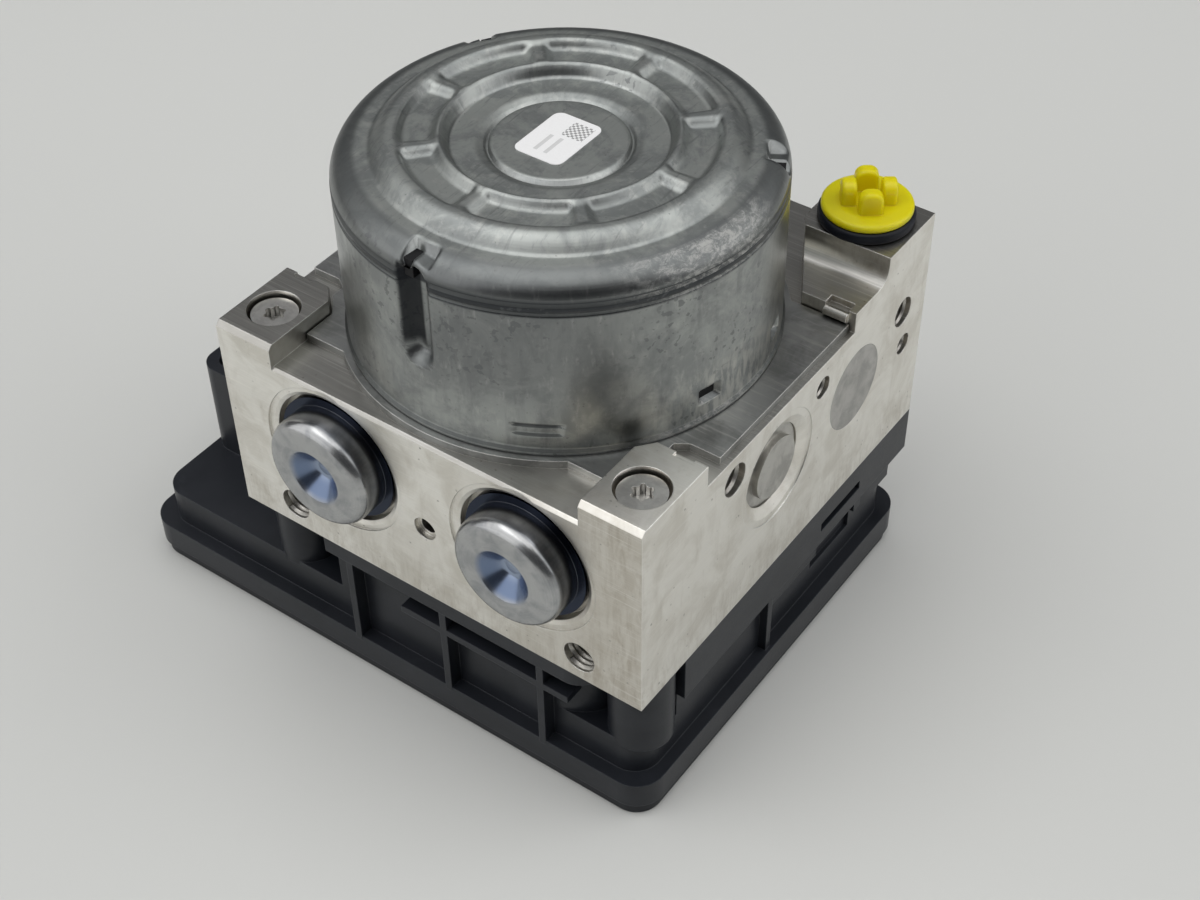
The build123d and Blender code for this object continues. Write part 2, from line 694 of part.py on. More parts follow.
for s, name in ((-1, "left"), (1, "right")):
    hub = (0, 0, PUMP_Z)
    out = (s, 0, 0)
    side = (0, 1, 0)
    with BuildPart() as pump_sleeve:
        sleeve = [
            (pump_piston_bore_r, PUMP_FOOT_X + FIT),
            (PUMP_SLEEVE_R, PUMP_FOOT_X + FIT),
            (PUMP_SLEEVE_R, mouth_x - FIT),
            (PUMP_SPRING_R, mouth_x - FIT),
            (PUMP_SPRING_R, PUMP_SPRING_X),
            (pump_piston_bore_r, PUMP_SPRING_X),
        ]
        turned(hub, out, side, sleeve)
    export(pump_sleeve, "pump_sleeve_" + name)
    with BuildPart() as pump_piston:
        rod = [
            (0, piston_tip_x),
            (PUMP_PISTON_R, piston_tip_x),
            (PUMP_PISTON_R, PUMP_SPRING_X + FIT),
            (PUMP_HEAD_R, PUMP_SPRING_X + FIT),
            (PUMP_HEAD_R, head_x),
            (0, head_x),
        ]
        turned(hub, out, side, rod)
    export(pump_piston, "pump_piston_" + name)
    with BuildPart() as pump_spring:
        start_x = head_x + PUMP_COIL_WIRE_R + FIT
        length = mouth_x - PUMP_COIL_WIRE_R - FIT - start_x
        coil((s * start_x, 0, PUMP_Z), out, PUMP_COIL_R, PUMP_COIL_WIRE_R, length, PUMP_COIL_TURNS)
    export(pump_spring, "pump_spring_" + name)
    with BuildPart() as pump_plug:
        plug = [
            (0, mouth_x),
            (PUMP_MOUTH_R - FIT, mouth_x),
            (PUMP_MOUTH_R - FIT, plug_step_x),
            (PUMP_PLUG_FACE_R, plug_step_x),
            (PUMP_PLUG_FACE_R, plug_face_x),
            (0, plug_face_x),
        ]
        turned(hub, out, side, plug)
    export(pump_plug, "pump_plug_" + name)

with BuildPart() as damper_discs:
    for s in SIDES:
        rim = [(0, HALF_X), (DAMPER_R - FIT, HALF_X)]
        rim += [(DAMPER_R - FIT, HALF_X - DAMPER_DISC_T), (0, HALF_X - DAMPER_DISC_T)]
        turned((0, DAMPER_Y, DAMPER_Z), (s, 0, 0), (0, 1, 0), rim)
export(damper_discs, "damper_discs")

with BuildPart() as ball_plugs:
    for up in BALL_H:
        with Locations((0, BACK_Y - BALL_R - 0.4, BLOCK_Z + up)):
            Sphere(BALL_R)
export(ball_plugs, "ball_plugs")

# =====================================================================
# Motor: plate, can, magnets
# =====================================================================

ear = [
    (0, PLATE_FRONT_Y),
    (PLATE_IN_X, PLATE_FRONT_Y),
    (PLATE_IN_X, PAD_CUT_Y + PLATE_GAP),
    (PAD_CUT_X - PLATE_GAP, PAD_BACK_Y + PLATE_GAP),
    (PLATE_NOTCH_X, PAD_BACK_Y + 1.1),
    (PLATE_NOTCH_X, PLATE_NOTCH_Y - 1.4),
    (PLATE_NOTCH_X + 2.1, PLATE_NOTCH_Y),
    (PLATE_X, PLATE_NOTCH_Y),
    (PLATE_X, SHELF_Y - PLATE_GAP),
    (0, SHELF_Y - PLATE_GAP),
]
with BuildPart() as motor_plate:
    drum(0, 0, FLOOR_Z, PLATE_R, PLATE_T)
    prism(ear, FLOOR_Z, PLATE_Z)
    prism(mirrored(ear), FLOOR_Z, PLATE_Z)
    drum(0, 0, FLOOR_Z - OVER, SEAT_R + FIT, PLATE_T + 2 * OVER, Mode.SUBTRACT)
    drum(0, WIRE_Y, FLOOR_Z - OVER, WIRE_BORE_R, PLATE_T + 2 * OVER, Mode.SUBTRACT)
export(motor_plate, "motor_plate")

ceiling_z = CAN_FLAT_Z - CAN_CEILING_T
collar_low = ceiling_z - BALL_BEARING_T
can_outline = [
    (CAN_R - CAN_WALL, PLATE_Z),
    (CAN_RIM_R, PLATE_Z),
    (CAN_RIM_R, PLATE_Z + CAN_RIM_T * 0.6),
    (CAN_R, PLATE_Z + CAN_RIM_T),
    (CAN_R, CAN_FLAT_Z),
    (BEAD_OUT_R, CAN_FLAT_Z),
    (BEAD_R1, CAN_FLAT_Z + BEAD_H),
    (BEAD_R0, CAN_FLAT_Z + BEAD_H),
    (BEAD_IN_R, CAN_FLAT_Z),
    (BUMP_OUT_R, CAN_FLAT_Z),
    (BUMP_LOW_R, CAN_FLAT_Z - BUMP_GROOVE_T),
    (BUMP_R, CAN_FLAT_Z - BUMP_T),
    (0, CAN_FLAT_Z - BUMP_T),
    (0, ceiling_z),
    (NOSE_R + FIT, ceiling_z),
    (NOSE_R + FIT, collar_low),
    (NOSE_R + COLLAR_WALL, collar_low),
    (NOSE_R + COLLAR_WALL, ceiling_z),
    (CAN_R - CAN_WALL, ceiling_z),
]


def can_face(deg):
    """Upright plane just outside the can, facing away from it."""
    a = math.radians(deg)
    out = (math.cos(a), math.sin(a))
    spot = ((CAN_R + OVER) * out[0], (CAN_R + OVER) * out[1], 0)
    return Plane(origin=spot, x_dir=(-out[1], out[0], 0), z_dir=(out[0], out[1], 0))


def sector(r0, r1, mid_deg, wide_deg):
    """Face between two arcs about the origin, in the sketch being drawn."""
    mid = math.radians(mid_deg)
    half = math.radians(wide_deg / 2)
    arcs = []
    for r in (r0, r1):
        arcs.append([(r * math.cos(mid + t * half), r * math.sin(mid + t * half)) for t in (-1, 0, 1)])
    with BuildSketch(mode=Mode.PRIVATE) as face:
        with BuildLine():
            ThreePointArc(*arcs[0])
            Line(arcs[0][2], arcs[1][2])
            ThreePointArc(*arcs[1])
            Line(arcs[1][0], arcs[0][0])
        make_face()
    return face.sketch


with BuildPart() as motor_can:
    with BuildSketch(Plane.XZ) as can_sketch:
        with BuildLine():
            Polyline(*can_outline, close=True)
        make_face()
        fillet(near(can_sketch, CAN_R, CAN_FLAT_Z), CAN_EDGE_R)
        fillet(near(can_sketch, BEAD_OUT_R, CAN_FLAT_Z), BEAD_FILLET)
        fillet(near(can_sketch, BEAD_R1, CAN_FLAT_Z + BEAD_H), BEAD_FILLET)
        fillet(near(can_sketch, BEAD_R0, CAN_FLAT_Z + BEAD_H), BEAD_FILLET)
        fillet(near(can_sketch, BEAD_IN_R, CAN_FLAT_Z), BEAD_FILLET)
    revolve(axis=Axis.Z)
    # pressed pockets on the bead
    pocket_floor = CAN_FLAT_Z + BEAD_H - POCKET_T
    with BuildSketch(level(pocket_floor)) as pocket_sketch:
        for k in range(POCKETS):
            add(sector(POCKET_R0, POCKET_R1, 360 / POCKETS * (k + 0.5), POCKET_DEG))
        fillet(pocket_sketch.vertices(), POCKET_ROUND)
    extrude(amount=POCKET_T + OVER, mode=Mode.SUBTRACT, taper=-POCKET_TAPER)
    # two fine turned lines
    for h in CAN_LINES:
        z = FLOOR_Z + h
        open_h = CAN_LINE_T + OVER
        vee = [(CAN_R - CAN_LINE_T, z), (CAN_R + OVER, z - open_h), (CAN_R + OVER, z + open_h)]
        turned((0, 0, 0), (0, 0, 1), (1, 0, 0), vee, Mode.SUBTRACT)
    # crimp notches in the top edge
    for deg in NOTCH_DEG:
        with BuildSketch(can_face(deg)):
            with Locations((0, CAN_FLAT_Z - NOTCH_H / 2 - NOTCH_DOWN)):
                Rectangle(NOTCH_W, NOTCH_H)
        extrude(amount=-OVER - NOTCH_T, mode=Mode.SUBTRACT)
    # long pressed groove
    groove_l = GROOVE_TOP_H - GROOVE_LOW_H
    with BuildSketch(can_face(GROOVE_DEG)):
        with Locations((0, FLOOR_Z + GROOVE_LOW_H + groove_l / 2)):
            SlotOverall(groove_l, GROOVE_W, rotation=90)
    extrude(amount=-OVER - GROOVE_T, mode=Mode.SUBTRACT)
    # windows near the bottom
    through = -2 * OVER - 2 * CAN_WALL
    for a0, a1, high in WINDOWS:
        wide = 2 * CAN_R * math.sin(math.radians(a1 - a0) / 2)
        with BuildSketch(can_face((a0 + a1) / 2)):
            with Locations((0, FLOOR_Z + WINDOW_H + high / 2)):
                Rectangle(wide, high)
        extrude(amount=through, mode=Mode.SUBTRACT)
    # one window pressed shut but for a slit
    a0, a1, high = BLIND
    wide = 2 * CAN_R * math.sin(math.radians(a1 - a0) / 2)
    for tall, depth in ((high, -OVER - BLIND_T), (BLIND_SLIT, through)):
        with BuildSketch(can_face((a0 + a1) / 2)):
            with Locations((0, FLOOR_Z + WINDOW_H + high - tall / 2)):
                Rectangle(wide, tall)
        extrude(amount=depth, mode=Mode.SUBTRACT)
export(motor_can, "motor_can")

with BuildPart() as magnets:
    r1 = CAN_R - CAN_WALL - FIT
    r0 = r1 - MAGNET_T
    with BuildSketch(level(MAGNET_Z)):
        for k in range(4):
            add(sector(r0, r1, 45 + 90 * k, MAGNET_DEG))
    extrude(amount=MAGNET_H)
export(magnets, "magnets")

# =====================================================================
# Motor: turning parts
# =====================================================================

core_r = CAN_R - CAN_WALL - FIT - MAGNET_T - AIR_GAP
shaft_low = CAVITY_Z - SHAFT_TAIL
shaft_top = ceiling_z - RUN * 10
with BuildPart() as motor_shaft:
    drum(0, 0, shaft_low, SHAFT_R, shaft_top - shaft_low)
export(motor_shaft, "motor_shaft")

with BuildPart() as armature_core:
    drum(0, 0, CORE_Z, core_r, CORE_H)
    drum(0, 0, CORE_Z - OVER, SHAFT_R + RUN, CORE_H + 2 * OVER, Mode.SUBTRACT)
    with BuildSketch(level(CORE_Z - OVER)):
        with PolarLocations((SLOT_R0 + SLOT_R1) / 2, SLOTS):
            Rectangle(SLOT_R1 - SLOT_R0, SLOT_W)
        with PolarLocations(core_r, SLOTS):
            Rectangle(2 * (core_r - SLOT_R1) + OVER, SLOT_MOUTH_W)
    extrude(amount=CORE_H + 2 * OVER, mode=Mode.SUBTRACT)
export(armature_core, "armature_core")

with BuildPart() as windings:
    low = CORE_Z - HEAD_H
    for z, h in ((low, HEAD_H - FIT), (CORE_Z + CORE_H + FIT, HEAD_H - FIT)):
        turned((0, 0, z), (0, 0, 1), (1, 0, 0), ring_points(SLOT_R0, SLOT_R1 - WIRE_GAP, 0, h))
    with BuildSketch(level(low + HEAD_H / 2)):
        with PolarLocations((SLOT_R0 + SLOT_R1) / 2, SLOTS):
            Rectangle(SLOT_R1 - SLOT_R0 - 2 * WIRE_GAP, SLOT_W - 2 * WIRE_GAP)
    extrude(amount=CORE_H + HEAD_H)
export(windings, "windings")

with BuildPart() as commutator:
    drum(0, 0, COMM_Z, COMM_R, COMM_H)
    drum(0, 0, COMM_Z - OVER, SHAFT_R + RUN, COMM_H + 2 * OVER, Mode.SUBTRACT)
    with BuildSketch(level(COMM_Z - OVER)):
        with PolarLocations(COMM_R, SLOTS, start_angle=15):
            Rectangle(1.6, 0.5)
    extrude(amount=COMM_H + 2 * OVER, mode=Mode.SUBTRACT)
export(commutator, "commutator")

with BuildPart() as eccentric:
    drum(ECC_OFFSET, 0, PUMP_Z - ECC_H / 2, ECC_R, ECC_H)
    drum(0, 0, PUMP_Z - ECC_H / 2 - OVER, SHAFT_R + RUN, ECC_H + 2 * OVER, Mode.SUBTRACT)
export(eccentric, "eccentric")

with BuildPart() as eccentric_bearing:
    ring = ring_points(ECC_R + FIT, NEEDLE_R, -NEEDLE_H / 2, NEEDLE_H / 2)
    turned((ECC_OFFSET, 0, PUMP_Z), (0, 0, 1), (1, 0, 0), ring)
export(eccentric_bearing, "eccentric_bearing")


def ball_bearing(z, outer_r, thick):
    """Bearing with grooved sides, its bore clear of the shaft."""
    wall = (outer_r - SHAFT_R) * 0.3
    dip = 0.4
    profile = [
        (SHAFT_R + RUN, 0),
        (SHAFT_R + wall, 0),
        (SHAFT_R + wall, dip),
        (outer_r - wall, dip),
        (outer_r - wall, 0),
        (outer_r, 0),
        (outer_r, thick),
        (outer_r - wall, thick),
        (outer_r - wall, thick - dip),
        (SHAFT_R + wall, thick - dip),
        (SHAFT_R + wall, thick),
        (SHAFT_R + RUN, thick),
    ]
    turned((0, 0, z), (0, 0, 1), (1, 0, 0), profile)


with BuildPart() as upper_bearing:
    ball_bearing(collar_low + FIT, NOSE_R, BALL_BEARING_T - 2 * FIT)
export(upper_bearing, "upper_bearing")

with BuildPart() as main_bearing:
    ball_bearing(FLOOR_Z - SEAT_T, SEAT_R, LOW_BEARING_T)
export(main_bearing, "main_bearing")

with BuildPart() as nose_bearing:
    ball_bearing(CAVITY_Z - NOSE_T, NOSE_R, NOSE_T)
export(nose_bearing, "nose_bearing")

with BuildPart() as shaft_seal:
    seal_top = FLOOR_Z - SEAT_T
    ring = ring_points(SHAFT_R + RUN, CAVITY_R - FIT, seal_top - SEAL_T, seal_top)
    turned((0, 0, 0), (0, 0, 1), (1, 0, 0), ring)
export(shaft_seal, "shaft_seal")

# =====================================================================
# Motor: brush gear
# =====================================================================

holder_top = PLATE_Z + HOLDER_T
tunnel_w = BRUSH_W + 2 * FIT
tunnel_h = BRUSH_H + FIT
box_r0 = COMM_R + 1.2
brush_r0 = COMM_R + 0.1
brush_r1 = brush_r0 + BRUSH_L
box_r1 = box_r0 + BRUSH_BOX_L


def radial_box(deg, r0, r1, wide, z0, z1, mode=Mode.ADD):
    """Box lying along a radius."""
    with BuildSketch(level(z0)) as face:
        with Locations(Rotation(0, 0, deg)):
            with Locations(((r0 + r1) / 2, 0)):
                Rectangle(r1 - r0, wide)
    extrude(face.sketch, amount=z1 - z0, mode=mode)


brush_degs = [360 / BRUSHES * (k + 0.5) for k in range(BRUSHES)]
with BuildPart() as brush_holder:
    turned((0, 0, PLATE_Z), (0, 0, 1), (1, 0, 0), ring_points(SEAT_R + 0.5, HOLDER_R, 0, HOLDER_T))
    for deg in brush_degs:
        wide = tunnel_w + 2 * BRUSH_WALL
        radial_box(deg, box_r0 + 1.0, box_r1, wide, PLATE_Z + FIT, holder_top + tunnel_h + BRUSH_WALL)
        radial_box(deg, box_r0 - OVER, box_r1 - 1.0, tunnel_w, holder_top, holder_top + tunnel_h, Mode.SUBTRACT)
    for s in SIDES:
        x0, x1 = sorted((s * CONTACT_X, s * (CONTACT_X + CONTACT_W)))
        y0 = WIRE_Y - CONTACT_D / 2
        block_of(x0 - FIT, x1 + FIT, y0 - FIT, y0 + CONTACT_D + FIT, PLATE_Z - OVER, holder_top + OVER, Mode.SUBTRACT)
export(brush_holder, "brush_holder")

with BuildPart() as brushes:
    for deg in brush_degs:
        radial_box(deg, brush_r0, brush_r1, BRUSH_W, holder_top, holder_top + BRUSH_H)
export(brushes, "brushes")

with BuildPart() as brush_springs:
    for deg in brush_degs:
        a = math.radians(deg)
        out = (math.cos(a), math.sin(a), 0)
        z = holder_top + BRUSH_H / 2
        steps = [(0.9, brush_r1)]
        n = 5
        length = box_r1 - 1.0 - brush_r1
        for k in range(n):
            steps.append((BRUSH_SPRING_R, brush_r1 + length * (k + 0.25) / n))
            steps.append((BRUSH_SPRING_R, brush_r1 + length * (k + 0.75) / n))
            steps.append((BRUSH_SPRING_R - 0.3, brush_r1 + length * (k + 1) / n))
        steps.append((0.9, brush_r1 + length))
        turned((0, 0, z), out, (0, 0, 1), steps)
export(brush_springs, "brush_springs")

board_top = COVER_T + BOARD_LIFT + BOARD_T
with BuildPart() as motor_contacts:
    for s in SIDES:
        x0, x1 = sorted((s * CONTACT_X, s * (CONTACT_X + CONTACT_W)))
        y0 = WIRE_Y - CONTACT_D / 2
        block_of(x0, x1, y0, y0 + CONTACT_D, board_top, holder_top + 1.5)
export(motor_contacts, "motor_contacts")

with BuildPart() as contact_guide:
    drum(0, WIRE_Y, BLOCK_Z, WIRE_BORE_R - FIT, PLATE_Z - BLOCK_Z)
    for s in SIDES:
        x0, x1 = sorted((s * CONTACT_X, s * (CONTACT_X + CONTACT_W)))
        y0 = WIRE_Y - CONTACT_D / 2
        block_of(x0 - FIT, x1 + FIT, y0 - FIT, y0 + CONTACT_D + FIT, BLOCK_Z - OVER, PLATE_Z + OVER, Mode.SUBTRACT)
export(contact_guide, "contact_guide")

# =====================================================================
# Solenoid valves and coils
# =====================================================================

stem_top = BLOCK_Z + VALVE_T
dome_low = BLOCK_Z - VALVE_DOME_T
filter_top = stem_top - 0.6
valve_points = [
    (0, dome_low),
    (VALVE_DOME_R * 0.7, dome_low + 0.35),
    (VALVE_DOME_R, dome_low + 1.5),
    (VALVE_DOME_R, BLOCK_Z - 0.6),
    (VALVE_COLLAR_R - 1.2, BLOCK_Z),
    (VALVE_COLLAR_R, BLOCK_Z),
    (VALVE_COLLAR_R, BLOCK_Z + VALVE_COLLAR_T),
    (VALVE_STEM_R - 0.6, BLOCK_Z + VALVE_COLLAR_T),
    (VALVE_STEM_R - 0.6, filter_top),
    (VALVE_TIP_R, filter_top),
    (VALVE_TIP_R, stem_top),
    (0, stem_top),
]
filter_points = ring_points(
    VALVE_STEM_R - 0.6 + FIT,
    VALVE_STEM_R,
    BLOCK_Z + VALVE_COLLAR_T + FIT,
    BLOCK_Z + VALVE_COLLAR_T + FILTER_T,
)
coil_top = BLOCK_Z - COIL_TOP_GAP
coil_low = coil_top - COIL_H
shell_in = COIL_R - COIL_SHELL
bobbin_low = coil_low + COIL_SHELL
bobbin_top = coil_top - COIL_SHELL
bobbin_points = [
    (COIL_BORE_R, bobbin_low),
    (shell_in - FIT, bobbin_low),
    (shell_in - FIT, bobbin_low + BOBBIN_FLANGE_T),
    (COIL_BORE_R + BOBBIN_WALL, bobbin_low + BOBBIN_FLANGE_T),
    (COIL_BORE_R + BOBBIN_WALL, bobbin_top - BOBBIN_FLANGE_T),
    (shell_in - FIT, bobbin_top - BOBBIN_FLANGE_T),
    (shell_in - FIT, bobbin_top),
    (COIL_BORE_R, bobbin_top),
]
winding_points = ring_points(
    COIL_BORE_R + BOBBIN_WALL + FIT,
    shell_in - 3 * FIT,
    bobbin_low + BOBBIN_FLANGE_T + FIT,
    bobbin_top - BOBBIN_FLANGE_T - FIT,
)
yoke_points = [
    (COIL_BORE_R, coil_low),
    (COIL_R, coil_low),
    (COIL_R, coil_top),
    (COIL_BORE_R, coil_top),
    (COIL_BORE_R, bobbin_top),
    (shell_in, bobbin_top),
    (shell_in, bobbin_low),
    (COIL_BORE_R, bobbin_low),
]
ALL_VALVES = [(x, y) for y in (OUTLET_Y, INLET_Y) for x in VALVE_X]


def group(node, spots, points):
    """One node of equal turned pieces, each on its own upright axis."""
    with BuildPart() as made:
        for x, y in spots:
            turned((x, y, 0), (0, 0, 1), (1, 0, 0), points)
    export(made, node)


group("outlet_valves", [(x, OUTLET_Y) for x in VALVE_X], valve_points)
group("inlet_valves", [(x, INLET_Y) for x in VALVE_X], valve_points)
group("valve_filters", ALL_VALVES, filter_points)
group("coil_bobbins", ALL_VALVES, bobbin_points)
group("coil_windings", ALL_VALVES, winding_points)
group("coil_yokes", ALL_VALVES, yoke_points)

with BuildPart() as coil_terminals:
    for x, y in ALL_VALVES:
        for s in SIDES:
            drum(x + s * TERMINAL_X, y, board_top, TERMINAL_R, coil_low - board_top)
export(coil_terminals, "coil_terminals")

# =====================================================================
# Control unit
# =====================================================================

strip_z = BLOCK_Z - STRIP_H
band_z = BLOCK_Z - BAND_H
dome = [
    (DOME_CORNER_X, MID_Y0),
    (DOME_RIGHT_X, MID_Y0),
    (DOME_RIGHT_X, DOME_RIGHT_Y),
    (MID_X1, DOME_RIGHT_Y),
    (MID_X1, MID_Y1),
    (DOME_X0, MID_Y1),
    (DOME_X0, DOME_CORNER_Y),
    (DOME_CORNER_X, DOME_CORNER_Y),
]


def dome_ring(inset, z0, z1, mode):
    """Prism inside the dome's outline, its walls set in."""
    with BuildSketch(level(z0)) as plan:
        with BuildLine():
            Polyline(*dome, close=True)
        make_face()
        fillet(near(plan, DOME_RIGHT_X, MID_Y0), DOME_ROUND)
        if inset:
            offset(amount=-inset, mode=Mode.REPLACE)
    extrude(plan.sketch, amount=z1 - z0, mode=mode)


with BuildPart() as ecu_housing:
    rounded(RIM_X0, RIM_X1, RIM_Y0, RIM_Y1, RIM_CORNER, COVER_T, RIM_Z)
    rounded(MID_X0, MID_X1, MID_Y0, MID_Y1, MID_CORNER, COVER_T, MID_Z)
    dome_ring(0, MID_Z - OVER, BLOCK_Z, Mode.ADD)
    # flush strip over the front wall, band over the right wall
    with BuildSketch(level(strip_z)) as strip:
        with BuildLine():
            Polyline(
                (DOME_CORNER_X, FRONT_Y),
                (DOME_RIGHT_X, FRONT_Y),
                (DOME_RIGHT_X, MID_Y0 + SHELL),
                (DOME_CORNER_X, MID_Y0 + SHELL),
                close=True,
            )
        make_face()
        fillet(near(strip, DOME_RIGHT_X, FRONT_Y), SHELL + (MID_Y0 - FRONT_Y) - 0.2)
    extrude(amount=STRIP_H)
    block_of(MID_X1 - SHELL, HALF_X, DOME_RIGHT_Y, BACK_Y, band_z, BLOCK_Z)
    block_of(DOME_X0, HALF_X, MID_Y1 - SHELL, BACK_Y, band_z, BLOCK_Z)
    # ribs
    for x in RIBS_X:
        block_of(x - RIB_W / 2, x + RIB_W / 2, FRONT_Y + FIT, MID_Y0 + SHELL, RIM_Z - OVER, strip_z + OVER)
    block_of(MID_X1 - SHELL, HALF_X, SIDE_RIB_Y - RIB_W / 2, SIDE_RIB_Y + RIB_W / 2, RIM_Z - OVER, band_z + OVER)
    # bar under the front slots, step under the band
    block_of(BAR_X0, BAR_X1, FRONT_Y + FIT, MID_Y0 + SHELL, strip_z - SLOT_H - BAR_H, strip_z - SLOT_H)
    block_of(MID_X1 - SHELL, HALF_X - STEP_IN, SIDE_RIB_Y, STEP_Y1, band_z - STEP_H, band_z + OVER)
    # posts of the front screws
    for s in SIDES:
        drum(s * SCREW_FRONT[0], SCREW_FRONT[1], MID_Z - OVER, POST_R, DOME_H + OVER)
    # hollow for the board, open below, and for the coils, open above
    cavity = (MID_X0 + SHELL, MID_X1 - SHELL, MID_Y0 + SHELL, MID_Y1 - SHELL)
    rounded(*cavity, MID_CORNER - SHELL, COVER_T - OVER, MID_Z - SHELL, Mode.SUBTRACT)
    dome_ring(SHELL, MID_Z - SHELL - OVER, BLOCK_Z + OVER, Mode.SUBTRACT)
    dome_ring(SHELL - GASKET_W, BLOCK_Z - GASKET_T, BLOCK_Z + OVER, Mode.SUBTRACT)
    for s in SIDES:
        x, y = SCREW_FRONT
        drum(s * x, y, MID_Z - OVER, POST_HOLE_R, DOME_H + 2 * OVER, Mode.SUBTRACT)
    drum(*SCREW_REAR, MID_Z - SHELL, REAR_POST_R, DOME_H + SHELL)
    drum(*SCREW_REAR, MID_Z, POST_HOLE_R, DOME_H + OVER, Mode.SUBTRACT)
    drum(*SCREW_REAR, BLOCK_Z - GASKET_T, REAR_POST_R + FIT, GASKET_T + OVER, Mode.SUBTRACT)
    # slots
    for x0, x1 in FRONT_SLOTS:
        block_of(x0, x1, MID_Y0 - OVER, MID_Y0 + SLOT_T, strip_z - SLOT_H, strip_z, Mode.SUBTRACT)
    for down, high in SIDE_SLOTS:
        z1 = BLOCK_Z - down
        block_of(HALF_X - 2 * SLOT_T, HALF_X + OVER, SIDE_SLOT_Y0, SIDE_SLOT_Y1, z1 - high, z1, Mode.SUBTRACT)
    # connector shroud
    shroud = (SHROUD_X0, SHROUD_X1, SHROUD_Y0, SHROUD_Y1)
    inner = (SHROUD_X0 + SHROUD_WALL, SHROUD_X1 - SHROUD_WALL, SHROUD_Y0 + SHROUD_WALL, SHROUD_Y1 - SHROUD_WALL)
    rounded(*shroud, SHROUD_ROUND, MID_Z - OVER, MID_Z + SHROUD_H)
    shroud_floor = MID_Z + SHROUD_FLOOR_T
    rounded(*inner, SHROUD_ROUND - SHROUD_WALL / 2, shroud_floor, MID_Z + SHROUD_H + OVER, Mode.SUBTRACT)
    pin_x = (SHROUD_X0 + SHROUD_X1) / 2
    pin_hole = PIN_W + 2 * FIT
    with BuildSketch(level(MID_Z - SHELL - OVER)):
        with Locations((pin_x, PIN_Y)):
            with GridLocations(PIN_PITCH_X, PIN_PITCH_Y, PIN_ROWS, PIN_COLS):
                Rectangle(pin_hole, pin_hole)
        for y in BLADE_Y:
            with Locations((pin_x, y)):
                Rectangle(BLADE_W + 2 * FIT, BLADE_T + 2 * FIT)
    extrude(amount=SHELL + SHROUD_FLOOR_T + 2 * OVER, mode=Mode.SUBTRACT)
export(ecu_housing, "ecu_housing")

with BuildPart() as ecu_gasket:
    dome_ring(SHELL - GASKET_W + FIT, BLOCK_Z - GASKET_T, BLOCK_Z, Mode.ADD)
    dome_ring(SHELL, BLOCK_Z - GASKET_T - OVER, BLOCK_Z + OVER, Mode.SUBTRACT)
    drum(*SCREW_REAR, BLOCK_Z - GASKET_T, EYE_R, GASKET_T)
    drum(*SCREW_REAR, BLOCK_Z - GASKET_T - OVER, POST_HOLE_R, GASKET_T + 2 * OVER, Mode.SUBTRACT)
export(ecu_gasket, "ecu_gasket")

with BuildPart() as ecu_cover:
    lid = (RIM_X0 + COVER_INSET, RIM_X1 - COVER_INSET, RIM_Y0 + COVER_INSET, RIM_Y1 - COVER_INSET)
    rounded(*lid, RIM_CORNER - COVER_INSET, 0, COVER_T)
    for x, y in BOARD_POSTS:
        drum(x, y, COVER_T - OVER, BOARD_POST_R, BOARD_LIFT + OVER)
    drum(VENT_POS[0], VENT_POS[1], -OVER, VENT_HOLE_R, COVER_T + 2 * OVER, Mode.SUBTRACT)
    drum(VENT_POS[0], VENT_POS[1], COVER_T - VENT_T, VENT_R + FIT, VENT_T + OVER, Mode.SUBTRACT)
export(ecu_cover, "ecu_cover")

with BuildPart() as vent_membrane:
    drum(VENT_POS[0], VENT_POS[1], COVER_T - VENT_T, VENT_R, VENT_T)
export(vent_membrane, "vent_membrane")

with BuildPart() as circuit_board:
    board = [v + s * BOARD_GAP for v, s in zip(cavity, (1, -1, 1, -1))]
    rounded(*board, BOARD_CORNER, COVER_T + BOARD_LIFT, board_top)
export(circuit_board, "circuit_board")

with BuildPart() as board_parts:
    for x, y, w, d, h in BOARD_PARTS:
        block_of(x - w / 2, x + w / 2, y - d / 2, y + d / 2, board_top, board_top + h)
export(board_parts, "board_parts")

with BuildPart() as connector_pins:
    pin_top = shroud_floor + PIN_UP
    with BuildSketch(level(board_top)):
        with Locations((pin_x, PIN_Y)):
            with GridLocations(PIN_PITCH_X, PIN_PITCH_Y, PIN_ROWS, PIN_COLS):
                Rectangle(PIN_W, PIN_W)
    extrude(amount=pin_top - board_top)
export(connector_pins, "connector_pins")

with BuildPart() as connector_blades:
    for y in BLADE_Y:
        x0 = pin_x - BLADE_W / 2
        block_of(x0, x0 + BLADE_W, y - BLADE_T / 2, y + BLADE_T / 2, board_top, pin_top)
export(connector_blades, "connector_blades")

# =====================================================================
# Screws and transport plugs
# =====================================================================

with BuildPart() as housing_screws:
    for x, y, top in screws:
        head_low = top - SCREW_SINK_T
        head_top = head_low + SCREW_HEAD_H
        drum(x, y, head_low, SCREW_HEAD_R, SCREW_HEAD_H)
        drum(x, y, BLOCK_Z, SCREW_R, head_low - BLOCK_Z)
        drum(x, y, BLOCK_Z - SCREW_GRIP, POST_HOLE_R - FIT, SCREW_GRIP)
        with BuildSketch(level(head_top - SCREW_TORX_T)):
            with Locations((x, y)):
                Circle(SCREW_TORX_R * 0.78)
                with PolarLocations(SCREW_TORX_R * 0.78, 6):
                    Circle(SCREW_TORX_R * 0.24)
        extrude(amount=SCREW_TORX_T + OVER, mode=Mode.SUBTRACT)
export(housing_screws, "housing_screws")

